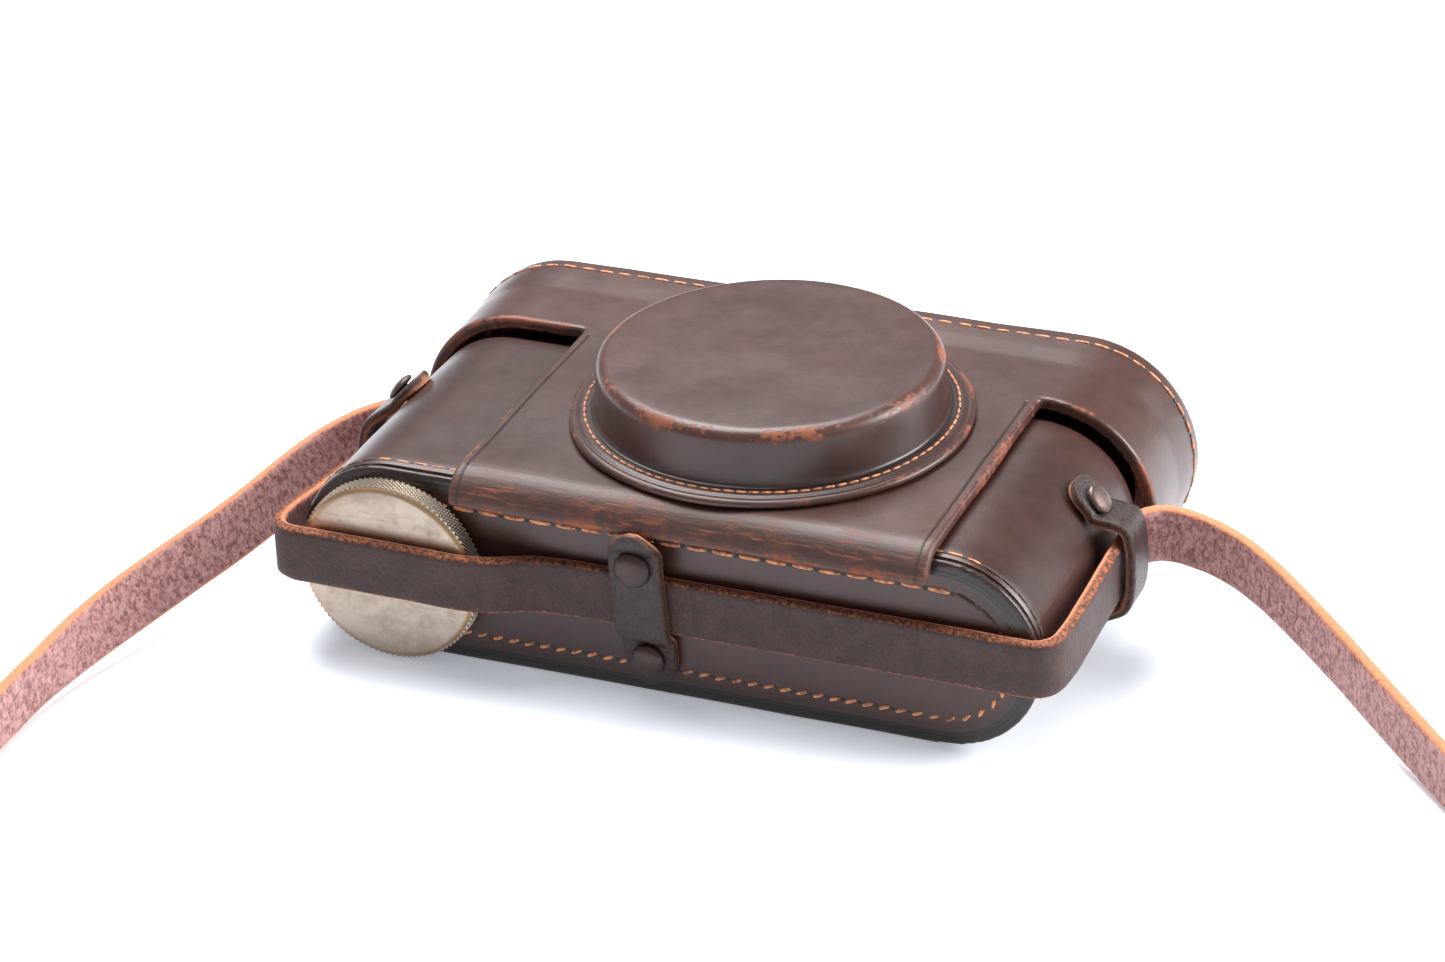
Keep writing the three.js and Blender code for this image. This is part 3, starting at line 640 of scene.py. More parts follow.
@dataclass(frozen=True)
class CalfLeather:
    """Smooth moulded calf, polished by hands and rubbed through at its edges.

    Attributes:
        name: Name of the material.
        dark: Colour of the deeper stain.
        light: Colour where the stain is thin.
        rubbed: Colour of the leather under the stain.
        grain: Size of the grain in millimetres.
        relief: Height of the grain in millimetres.
        gloss: Roughness of the polished surface.
        wear: How much of the edges is rubbed.
    """

    name: str
    dark: tuple = shade(52, 30, 26)
    light: tuple = shade(68, 41, 35)
    rubbed: tuple = shade(160, 86, 50)
    grain: float = 0.5
    relief: float = 0.012
    gloss: float = 0.36
    wear: float = 1.0

    def make(self, lines: Callable[[Graph], object] | None = None,
             scuffs: Callable[[Graph], object] | None = None, rim: bool = False) -> bpy.types.Material:
        """Builds the material.

        Args:
            lines: Gives the depth of pressed lines in millimetres, as a socket; the lines are also darkened
                as painted shade.
            scuffs: Gives where the surface is scuffed, from 0 to 1, as a socket.
            rim: Whether the piece has a waxed edge, in its values "rim" and "rings".

        Returns:
            The material.
        """
        g = Graph(self.name)
        worn, sunk = g.value("worn"), g.value("sunk")
        tone = g.add(g.times(g.noise(30, 3), 0.6), g.times(g.noise(4.5, 4, 0.6), 0.4))
        color = g.mix(g.step(tone, 0.3, 0.7), self.dark, self.light)
        fleck = g.step(g.noise(0.9, 2, 0.6), 0.66, 0.78)
        color = g.mix(g.times(fleck, 0.12), color, self.light)
        patch = g.add(g.times(g.noise(11, 2, 0.5), 0.9), g.times(g.noise(1.6, 5, 0.7), 0.8))
        ragged = g.times(worn, g.step(patch, 0.78, 1.08))
        rub = g.times(g.step(ragged, 0.1, 0.6), self.wear)
        inner = g.mix(g.noise(1.4, 3, 0.6), self.rubbed, shade(104, 50, 32))
        color = g.mix(g.times(worn, 0.18), color, shade(104, 60, 42))
        color = g.mix(g.times(rub, 0.75), color, inner)
        if scuffs is not None:
            area = scuffs(g)
            specks = g.times(g.step(g.noise(0.45, 4, 0.75), 0.66, 0.72), g.step(area, 0.1, 0.6))
            streak = g.noise(0.8, 5, 0.65, 0.3, (0.11, 1, 1))
            mark = g.times(g.step(g.add(streak, g.times(area, 0.14)), 0.66, 0.82), g.step(area, 0.02, 0.3))
            mark = g.math("MAXIMUM", mark, g.times(specks, 0.8))
            color = g.mix(g.times(mark, 0.62), color, self.rubbed)
            folds = g.times(g.times(g.noise(0.9, 3, 0.6, 0.2, (0.1, 1, 1)), area), 0.14)
            rub = g.math("MAXIMUM", rub, mark)
        # Painted shade: the hollows are darkened towards near black.
        color = g.mix(g.times(sunk, 0.75), color, shade(20, 12, 11))
        smear = g.times(g.math("SUBTRACT", g.noise(9, 4, 0.6), 0.5), 0.16)
        rough = g.add(self.gloss, smear, g.times(rub, 0.25))
        height = g.add(g.times(g.cells(self.grain, "SMOOTH_F1"), self.relief),
                       g.times(g.noise(self.grain * 2.6, 4, 0.6), self.relief * 1.6),
                       g.times(g.noise(7, 3, 0.5), 0.05), g.times(rub, -0.03))
        if scuffs is not None:
            rough = g.add(rough, g.times(area, 0.2))
            height = g.add(height, folds)
        if rim:
            waxed = g.value("rim")
            ring = g.put("ShaderNodeCombineXYZ", {"X": g.value("rings")}).outputs[0]
            layers = g.noise(0.7, 3, 0.6, at=ring)
            wax = g.mix(g.step(layers, 0.4, 0.62), shade(20, 14, 13), shade(52, 37, 33))
            color = g.mix(waxed, color, wax)
            rough = g.add(g.times(rough, g.math("SUBTRACT", 1.0, waxed)), g.times(waxed, 0.32))
            height = g.add(height, g.times(g.times(layers, waxed), 0.1))
        if lines is not None:
            depth = lines(g)
            height = g.add(height, g.times(depth, -1.0))
            # Painted shade: the pressed lines are darkened by their depth.
            color = g.mix(g.math("MULTIPLY", depth, 2.2, clamp=True), color, shade(24, 14, 12))
        return g.finish(color, rough, height, Specular_IOR_Level=0.44, Coat_Weight=0.08, Coat_Roughness=0.25)


@dataclass(frozen=True)
class StrapLeather:
    """Dry strap leather with a grain side, a cracked flesh side and raw edges.

    Attributes:
        name: Name of the material.
        grain_dark: Deeper colour of the grain side.
        grain_light: Lighter colour of the grain side.
        flesh_dark: Deeper colour of the flesh side.
        flesh_light: Lighter colour of the flesh side.
        edge: Colour of the raw edges.
        gloss: Roughness of the grain side.
    """

    name: str
    grain_dark: tuple = shade(50, 28, 23)
    grain_light: tuple = shade(61, 36, 30)
    flesh_dark: tuple = shade(118, 70, 66)
    flesh_light: tuple = shade(184, 136, 130)
    edge: tuple = shade(166, 94, 58)
    gloss: float = 0.44

    def make(self) -> bpy.types.Material:
        """Builds the material from the strap's own values.

        Returns:
            The material, which reads "raw" for the raw edges and "flesh" for the flesh side.
        """
        g = Graph(self.name)
        raw, flesh = g.value("raw"), g.value("flesh")
        spot = g.cells(0.85, "F1")
        crackle = g.step(g.add(g.noise(0.8, 5, 0.72, 0.4, (1, 0.7, 0.6)), g.times(spot, 0.12)), 0.4, 0.7)
        lined = g.step(g.noise(1.3, 4, 0.6, 0.8, (1, 1, 0.35)), 0.52, 0.68)
        skin = g.mix(g.step(g.noise(5, 4, 0.6), 0.38, 0.66), self.grain_dark, self.grain_light)
        fleck = g.step(g.add(g.noise(0.7, 3, 0.7), g.times(g.noise(9, 2), 0.16)), 0.76, 0.83)
        skin = g.mix(g.times(fleck, 0.6), skin, self.edge)
        meat = g.mix(crackle, self.flesh_dark, self.flesh_light)
        meat = g.mix(g.times(lined, 0.35), meat, shade(205, 165, 158))
        meat = g.mix(g.times(fleck, 0.6), meat, shade(206, 120, 92))
        color = g.mix(flesh, skin, meat)
        fibre = g.mix(g.step(g.noise(0.7, 4, 0.7), 0.38, 0.66), self.grain_light, self.edge)
        fibre = g.mix(flesh, fibre, g.mix(g.noise(0.6, 4, 0.7), self.edge, shade(226, 152, 112)))
        ragged = g.add(raw, g.times(g.math("SUBTRACT", g.noise(1.0, 4, 0.7), 0.5), 0.8))
        edge = g.step(ragged, 0.62, 0.86)
        color = g.mix(edge, color, fibre)
        rough = g.add(self.gloss, g.times(g.noise(2, 4, 0.6), 0.14), g.times(edge, 0.3), g.times(flesh, 0.04))
        height = g.add(g.times(crackle, 0.07), g.times(g.noise(0.7, 4, 0.7), 0.06), g.times(spot, 0.03))
        return g.finish(color, rough, height, Specular_IOR_Level=0.38, Sheen_Weight=0.05)


@dataclass(frozen=True)
class WornMetal:
    """Plated metal, rubbed and a little tarnished.

    Attributes:
        name: Name of the material.
        plate: Colour of the plating.
        tarnish: Colour of the tarnish.
        gloss: Roughness of the bare plate.
        amount: How much of it is tarnished.
        metal: 1 for bare metal, less under lacquer.
    """

    name: str
    plate: tuple = shade(190, 181, 165)
    tarnish: tuple = shade(126, 112, 90)
    gloss: float = 0.3
    amount: float = 0.6
    metal: float = 1.0

    def make(self, line: tuple | None = None) -> bpy.types.Material:
        """Builds the material with stains, fine scratches and pits.

        Args:
            line: Colour of the line where the piece's value "worn" is high, or None. The piece's
                hollows are darkened as painted shade.

        Returns:
            The material.
        """
        g = Graph(self.name)
        cloud = g.add(g.times(g.noise(9, 4, 0.6), 0.6), g.times(g.noise(1.6, 5, 0.7), 0.4))
        stain = g.step(cloud, 0.42, 0.62)
        color = g.mix(g.times(stain, self.amount), self.plate, self.tarnish)
        pits = g.step(g.noise(0.5, 3, 0.7), 0.7, 0.78)
        color = g.mix(g.times(pits, 0.5), color, shade(70, 58, 44))
        if line is not None:
            color = g.mix(g.value("worn"), color, line)
            # Painted shade: the hollows, such as the knurling's pits, are darkened.
            color = g.mix(g.times(g.value("sunk"), 0.85), color, shade(50, 40, 30))
        scratch = g.step(g.noise(0.5, 3, 0.6, 0.2, (0.06, 1, 1)), 0.62, 0.7)
        rough = g.add(self.gloss, g.times(stain, 0.14), g.times(scratch, 0.12))
        height = g.add(g.times(scratch, -0.01), g.times(pits, -0.02), g.times(g.noise(3, 3), 0.02))
        return g.finish(color, rough, height, Metallic=self.metal)


@dataclass(frozen=True)
class Thread:
    """Waxed linen thread.

    Attributes:
        name: Name of the material.
        color: Colour of the thread.
        dirt: Colour where it is dirty; in the stitch holes' material, the deeper painted shade.
    """

    name: str
    color: tuple = shade(214, 140, 92)
    dirt: tuple = shade(120, 62, 40)

    def make(self) -> bpy.types.Material:
        """Builds the material with the thread's twist and its dirt; for the stitch holes both its colours are
        painted shade.
        """
        g = Graph(self.name)
        color = g.mix(g.step(g.noise(1.1, 4, 0.7), 0.42, 0.68), self.color, self.dirt)
        height = g.times(g.noise(0.22, 3, 0.6), 0.05)
        return g.finish(color, 0.62, height, Sheen_Weight=0.2)


@dataclass(frozen=True)
class Felt:
    """Thin dark red felt.

    Attributes:
        name: Name of the material.
    """

    name: str = "lining_felt"

    def make(self) -> bpy.types.Material:
        """Builds the material with short matted fibres."""
        g = Graph(self.name)
        fibre = g.noise(0.5, 5, 0.75, 0.6)
        color = g.mix(g.step(fibre, 0.35, 0.7), shade(70, 22, 24), shade(118, 46, 44))
        color = g.mix(g.times(g.step(g.noise(12, 3), 0.5, 0.7), 0.4), color, shade(60, 30, 26))
        return g.finish(color, 0.95, g.times(fibre, 0.12), Sheen_Weight=0.4)


@dataclass
class Finishes:
    """Every material of the case that more than one piece may take, made once.

    Attributes:
        thread: Orange linen thread.
        hole: Dark beads of painted shade in the holes between stitches.
        dark_thread: Thread that is dark with polish.
        felt: Felt of the linings and pads.
        nickel: Worn nickel of the small metal pieces.
        brass: Colour of the brass under the knob's plating.
        lacquer: Brown lacquer of the press stud's cap.
        loop_cap: The same lacquer, rubbed, on the loops' rivets.
        strap: Leather of the neck strap.
        tab: Leather of the closing tab and the loops.
        keeper: Leather of the hinge's fold.
    """

    def __post_init__(self) -> None:
        """Builds the materials."""
        self.thread = Thread("orange_thread").make()
        # Painted shade of the holes between stitches.
        self.hole = Thread("thread_shadow", shade(26, 15, 13), shade(12, 8, 7)).make()
        self.dark_thread = Thread("polished_thread", shade(66, 42, 34), shade(34, 22, 20)).make()
        self.felt = Felt().make()
        self.nickel = WornMetal("worn_nickel").make()
        self.brass = shade(176, 128, 70)
        self.lacquer = WornMetal("lacquered_cap", shade(58, 38, 33), shade(34, 22, 20),
                                 0.3, 0.6, 0.35).make()
        self.loop_cap = WornMetal("rubbed_cap", shade(112, 96, 90), shade(62, 46, 42),
                                  0.32, 0.7, 0.7).make()
        self.strap = StrapLeather("strap_leather").make()
        self.tab = StrapLeather("tab_leather", shade(36, 19, 15), shade(46, 26, 21), shade(84, 48, 36),
                                shade(120, 74, 54), shade(84, 48, 34), 0.26).make()
        self.keeper = CalfLeather("keeper_leather", grain=0.7, relief=0.03, gloss=0.4).make()


# ------------------------------------------------------------------ flowing lines
def flowing(points: Sequence[Sequence[float]], step: float = 2.0) -> np.ndarray:
    """Even points on a smooth curve through a list of points.

    Args:
        points: Points in millimetres, in two or three dimensions.
        step: Distance between the results.

    Returns:
        The points, the first and last of which are the list's own.
    """
    p = np.array(points, float)
    p = np.vstack([2 * p[0] - p[1], p, 2 * p[-1] - p[-2]])
    fine: list[np.ndarray] = []
    for i in range(1, len(p) - 2):
        t = np.cumsum([0, *(np.linalg.norm(p[i + k] - p[i + k - 1]) ** 0.5 for k in (0, 1, 2))])
        for u in np.linspace(t[1], t[2], 24, endpoint=False):
            a = [((t[k + 1] - u) * p[i - 1 + k] + (u - t[k]) * p[i + k]) / (t[k + 1] - t[k])
                 for k in range(3)]
            b = [((t[k + 2] - u) * a[k] + (u - t[k]) * a[k + 1]) / (t[k + 2] - t[k]) for k in range(2)]
            fine.append(((t[2] - u) * b[0] + (u - t[1]) * b[1]) / (t[2] - t[1]))
    line = np.array([*fine, p[-2]])
    return respace(line, step)


def respace(line: np.ndarray, step: float) -> np.ndarray:
    """The same line with its points an even step apart."""
    along = np.concatenate([[0], np.cumsum(np.linalg.norm(np.diff(line, axis=0), axis=1))])
    even_at = np.linspace(0, along[-1], max(2, round(along[-1] / step) + 1))
    return np.stack([np.interp(even_at, along, line[:, k]) for k in range(line.shape[1])], 1)


def length_of(line: np.ndarray) -> float:
    """Length of a line of points."""
    return float(np.linalg.norm(np.diff(line, axis=0), axis=1).sum())


@dataclass(frozen=True)
class Ribbon:
    """A flat strap of even section.

    Attributes:
        width: Width of the strap.
        thick: Thickness of the leather.
    """

    width: float = 11.2
    thick: float = 2.3

    def section(self) -> tuple[list[Point], list[float]]:
        """Points (across, out) round the strap's section, and how far each is on a raw edge."""
        w, t, c = self.width / 2, self.thick / 2, 0.55
        side = [(w, -t + c, 1.0), (w + 0.12, 0.0, 1.0), (w, t - c, 1.0), (w - c, t, 0.72),
                (w - 1.5, t + 0.03, 0.2), (w - 3.2, t + 0.02, 0.0), (0.9, t, 0.0)]
        half = [*side, *((-x, y, e) for x, y, e in reversed(side))]
        points = [*half, *((-x, -y, e) for x, y, e in half)]
        return [(x, y) for x, y, _ in points], [e for _, _, e in points]

    def lay(self, name: str, line: np.ndarray, lean: Callable[[float], float] | None = None,
            face: float = 1.0, wave: float = 0.18, tip: float = 0.0, both_tips: bool = False,
            cracked: Point | None = None, up: Sequence[float] = (0, 0, 1),
            ripples: float = 0.05) -> bpy.types.Object:
        """Lays the strap along a line, standing on its edge.

        Args:
            name: Name of the new object.
            line: The strap's middle line in millimetres.
            lean: Degrees that the strap leans outwards at each distance along it.
            face: 1 if the grain side is on the left of the way it runs, -1 if on the right.
            wave: How far the strap waves off its line.
            tip: Length of the rounded point at its end.
            both_tips: Whether its start is rounded too.
            cracked: Where along it both sides start to be cracked, and where they are all cracked.
            up: Direction across the strap.
            ripples: Height of the small ripples of its surface.

        Returns:
            The strap, with the values "raw" and "flesh" on its vertices.
        """
        profile, raw_edge = self.section()
        tangent = np.gradient(line, axis=0)
        tangent /= np.linalg.norm(tangent, axis=1)[:, None]
        along = np.concatenate([[0], np.cumsum(np.linalg.norm(np.diff(line, axis=0), axis=1))])
        out = np.cross(np.array(up, float), tangent)
        out /= np.linalg.norm(out, axis=1)[:, None]
        rise = np.cross(tangent, out)
        angle = np.radians([lean(s) if lean else 0.0 for s in along])[:, None]
        rise, out = rise * np.cos(angle) + out * np.sin(angle), out * np.cos(angle) - rise * np.sin(angle)
        rings, raw, flesh = [], [], []
        for i, middle in enumerate(line):
            left = min(along[-1] - along[i], along[i] if both_tips else 1e9)
            old = 0.0 if cracked is None else float(np.interp(along[i], cracked, (0, 1)))
            narrow = 1.0 if tip <= 0 or left > tip else max(0.18, math.sqrt(1 - (1 - left / tip) ** 2))
            sway = wave * noise.noise(Vector((along[i] / 26, 3.1, 0)))
            for (x, y), edge in zip(profile, raw_edge):
                ripple = ripples * noise.noise(Vector((along[i] / 3.1, x * 0.9, y)))
                across = x * narrow + ripple * edge
                rings.append(middle + rise[i] * across + out[i] * (y * face + sway + ripple))
                raw.append(1.0 if left < 0.4 or along[i] < 0.4 else edge)
                flesh.append(max(old, 1.0 if y < 0 else 0.0))
        n, m = len(line), len(profile)
        faces = [(i * m + k, i * m + (k + 1) % m, (i + 1) * m + (k + 1) % m, (i + 1) * m + k)
                 for i in range(n - 1) for k in range(m)]
        faces += [tuple(range(m)), tuple((n - 1) * m + k for k in reversed(range(m)))]
        mesh = bpy.data.meshes.new(name)
        mesh.from_pydata(np.array(rings) * MM, [], faces)
        obj = bpy.data.objects.new(name, mesh)
        bpy.context.scene.collection.objects.link(obj)
        note(obj, "raw", np.array(raw))
        note(obj, "flesh", np.array(flesh))
        close_up(obj)
        return soft_shade(obj, 50)


# ------------------------------------------------------------------ seams
@dataclass(frozen=True)
class Seam:
    """A row of stitches with a dark bead of painted shade in the hole between each two.

    Attributes:
        pitch: Distance from one hole to the next.
        length: Length of the thread that shows in each stitch.
        width: Width of the thread.
        proud: How far the thread stands out.
        slant: Degrees that each stitch is turned from the row.
    """

    pitch: float = 4.0
    length: float = 3.1
    width: float = 0.75
    proud: float = 0.35
    slant: float = 0.0

    def bead(self, size: Sequence[float], rings: int) -> tuple[np.ndarray, list]:
        """Makes a rounded bead from a sphere with flattened ends.

        Args:
            size: Length, width and height of the bead.
            rings: Number of rings of faces along it.

        Returns:
            Its vertices in millimetres, and its faces.
        """
        start_clean()
        bpy.ops.mesh.primitive_uv_sphere_add(segments=8, ring_count=rings, radius=0.5 * MM)
        obj = bpy.context.object
        bpy.ops.transform.rotate(value=math.pi / 2, orient_axis="Y", center_override=(0, 0, 0))
        bpy.ops.object.transform_apply(location=True, rotation=True, scale=True)
        co = coordinates(obj)
        co[:, 0] = np.sign(co[:, 0]) * 0.5 * (2 * np.abs(co[:, 0])) ** 0.55
        faces = [tuple(p.vertices) for p in obj.data.polygons]
        bpy.data.objects.remove(obj)
        return co * np.array(size), faces

    def sew(self, name: str, line: Sequence[Vector], normals: Sequence[Vector], body: str,
            looks: Finishes, ring: bool = False,
            faded: Callable[[np.ndarray], bool] = lambda _: False) -> None:
        """Sews a row along a line.

        Args:
            name: Name of the row; its holes get the same name and "_holes".
            line: Points of the row in millimetres, on the leather.
            normals: Outward direction at each point.
            body: Body that the row rides on.
            looks: The finishes.
            ring: Whether the last point meets the first.
            faded: Says for a stitch's place whether its thread is dark with polish.
        """
        p = np.array([tuple(v) for v in line], float)
        q = np.array([tuple(v) for v in normals], float)
        if ring:
            p, q = np.vstack([p, p[:1]]), np.vstack([q, q[:1]])
        along = np.concatenate([[0], np.cumsum(np.linalg.norm(np.diff(p, axis=0), axis=1))])
        count = max(1, round(along[-1] / self.pitch))
        gap = max(0.6, (self.pitch - self.length) * 0.95)
        stitch, faces = self.bead((self.length, self.width, self.proud * 2), 6)
        # Painted shade: each hole between stitches is a dark bead.
        pit, pit_faces = self.bead((gap, self.width * 1.1, 0.16), 4)
        made: dict[str, list] = {"": [[], []], "_holes": [[], []], "_dark": [[], []]}
        for i in range(count + (0 if ring else 1)):
            for kind, shape, shape_faces, shift in (("", stitch, faces, 0.5),
                                                    ("_holes", pit, pit_faces, 0.0)):
                if kind == "" and i >= count:
                    continue
                at = (i + shift) * along[-1] / count
                centre = np.array([np.interp(at, along, p[:, k]) for k in range(3)])
                ahead = np.array([np.interp(min(at + 0.3, along[-1]), along, p[:, k]) for k in range(3)])
                behind = np.array([np.interp(max(at - 0.3, 0), along, p[:, k]) for k in range(3)])
                up = np.array([np.interp(at, along, q[:, k]) for k in range(3)])
                up /= np.linalg.norm(up)
                way = ahead - behind
                way -= up * way.dot(up)
                way /= np.linalg.norm(way)
                wobble = self.slant + 5 * noise.noise(Vector((i * 1.7, shift, 0.3)))
                way = np.array(Matrix.Rotation(math.radians(wobble), 3, Vector(up)) @ Vector(way))
                side = np.cross(up, way)
                size = 1 + 0.16 * noise.noise(Vector((i * 2.3, 0.7, shift)))
                centre += side * 0.12 * noise.noise(Vector((i * 0.9, shift, 4.4)))
                group = "_dark" if kind == "" and faded(centre) else kind
                first = sum(len(block) for block in made[group][0])
                made[group][0].append(centre + (shape * size) @ np.stack([way, side, up]))
                made[group][1] += [tuple(v + first for v in f) for f in shape_faces]
        for kind, look in (("", looks.thread), ("_holes", looks.hole), ("_dark", looks.dark_thread)):
            if not made[kind][0]:
                continue
            mesh = bpy.data.meshes.new(name + kind)
            mesh.from_pydata(np.vstack(made[kind][0]) * MM, [], made[kind][1])
            obj = bpy.data.objects.new(name + kind, mesh)
            bpy.context.scene.collection.objects.link(obj)
            soft_shade(obj, 60)
            settle(obj, body, look)


# ------------------------------------------------------------------ neck strap
@dataclass
class NeckStrap:
    """The neck strap: a stretch held under the case, and two free ends with their lengths rolled up.

    Attributes:
        looks: The finishes.
        ribbon: The strap's section.
        held: Route of the held stretch, as points in millimetres.
        left: Route of the left free end, up to its roll.
        right: Route of the right free end, up to its roll.
        left_roll: Centre of the left roll.
        right_roll: Centre of the right roll.
        lift: Height of a roll's middle line.
    """

    looks: Finishes
    ribbon: Ribbon = Ribbon()
    held: tuple = (
        (-75.3, 5.0, 16.4), (-75.3, -6.0, 16.6), (-75.5, -18.0, 17.6), (-75.7, -30.0, 18.9),
        (-75.9, -38.0, 19.8), (-75.7, -43.4, 20.4), (-74.6, -47.2, 20.7), (-71.6, -49.1, 20.8),
        (-66.0, -49.15, 20.8), (-48.0, -49.05, 20.6), (-37.0, -49.0, 20.4), (-31.4, -47.8, 20.3),
        (-25.6, -45.1, 20.2), (-19.6, -44.0, 20.2), (8.0, -43.9, 20.2), (34.0, -43.9, 20.2),
        (58.0, -43.95, 20.2), (69.0, -44.1, 20.2), (73.0, -43.7, 20.2), (75.2, -41.4, 20.2),
        (75.9, -36.0, 20.2), (75.9, -28.0, 20.2), (75.6, -16.0, 20.2), (75.3, -6.0, 20.2),
        (75.3, 5.0, 20.2))
    left: tuple = (
        (-75.3, 5.8, 16.3), (-75.6, 8.8, 16.2), (-77.6, 13.3, 15.0), (-81.8, 15.6, 13.5),
        (-86.0, 12.8, 12.6), (-88.8, 7.6, 12.1), (-91.0, 0.6, 11.6), (-92.8, -8.8, 11.1),
        (-94.2, -18.6, 10.6), (-96.2, -29.6, 10.0), (-98.8, -40.4, 9.4), (-101.6, -51.6, 8.7),
        (-104.2, -63.0, 7.9), (-106.2, -75.0, 7.1), (-107.2, -87.0, 6.5), (-107.2, -99.0, 6.2))
    right: tuple = (
        (75.3, 5.5, 20.2), (75.8, 7.8, 20.2), (79.6, 11.0, 20.1), (87.4, 10.4, 19.5),
        (93.8, 8.4, 18.4), (99.8, 5.4, 16.9), (105.6, 1.6, 15.2), (111.8, -3.0, 13.3),
        (119.0, -9.0, 11.3), (127.4, -16.6, 9.2), (134.2, -23.0, 7.8), (141.0, -30.0, 6.8),
        (147.0, -36.2, 6.3))
    left_roll: Point = (-140.4, -114.0)
    right_roll: Point = (178.2, -16.4)
    lift: float = 5.95

    def coil(self, centre: Point, radius: float, pitch: float, start: float, degrees: float) -> list[tuple]:
        """Points of a roll's turns, 15 degrees apart.

        Args:
            centre: Centre of the roll.
            radius: Radius at the start.
            pitch: How much narrower each turn is.
            start: Angle of the first point.
            degrees: How far the roll turns, negative for clockwise.

        Returns:
            The points in millimetres.
        """
        count = round(abs(degrees) / 15)
        points = []
        for i in range(count + 1):
            a = math.radians(start + degrees * i / count)
            r = radius - pitch * abs(degrees) / 360 * i / count
            points.append((centre[0] + r * math.cos(a), centre[1] + r * math.sin(a), self.lift))
        return points

    @staticmethod
    def left_lean(along: float) -> float:
        """Degrees that the left end leans, upright in its loop and in its roll."""
        return -25 * min(1, max(0, along - 12) / 20) * min(1, max(0, 118 - along) / 30)

    def free_end(self, name: str, route: Sequence, lean: Callable[[float], float] | None,
                 nodes: Sequence[str], fitted: Sequence[bpy.types.Object],
                 tip: float) -> None:
        """Args:
            name: Name of the piece.
            route: Points that it follows, in millimetres.
            lean: Degrees that it leans at each distance along it, or None for none.
            nodes: The solids that it stands for.
            fitted: The pieces on its far end, for which its end is slotted.
            tip: Length of the rounded point at its end.
        """
        line = flowing(route, 1.8)
        obj = self.ribbon.lay(name, line, lean, face=-1.0, tip=tip, cracked=(-6, 6))
        if fitted:
            x, y = self.left_roll
            low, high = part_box("buckle_prong")
            carve(obj, slab((x - 20, y - 5.0, low[2] / MM - 0.3),
                            (x - 12, y + 3.0, high[2] / MM + 0.3)))
        settle(obj, "case", self.looks.strap, nodes)
        log.info("%s: %.0f mm", name, length_of(line))

    def build(self) -> None:
        """Builds the three stretches; the left roll ends in a tighter half turn, at the buckle."""
        x, y = self.left_roll
        inner = [(x + 6.5 + 22.4 * math.cos(math.radians(-a)), y + 22.4 * math.sin(math.radians(-a)),
                  self.lift) for a in (*range(15, 166, 15), 178.2)]
        left = [*self.left, *self.coil(self.left_roll, 33.3, 4.4, 0, -360), *inner]
        buckle = [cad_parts["buckle_frame"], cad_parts["buckle_prong"]]
        self.free_end("left_free_strap", left, self.left_lean, ["strap_left", "strap_left_roll"],
                      buckle, 0)
        right = [*self.right, *self.coil(self.right_roll, 36.2, 4.7, 225, 756)]
        self.free_end("right_free_strap", right, None, ["strap_right", "strap_right_roll"],
                      [], 7)
        held = self.ribbon.lay("held_strap", flowing(self.held, 1.5), face=-1.0, wave=0.12)
        settle(held, "case", self.looks.strap, ["strap_base"])


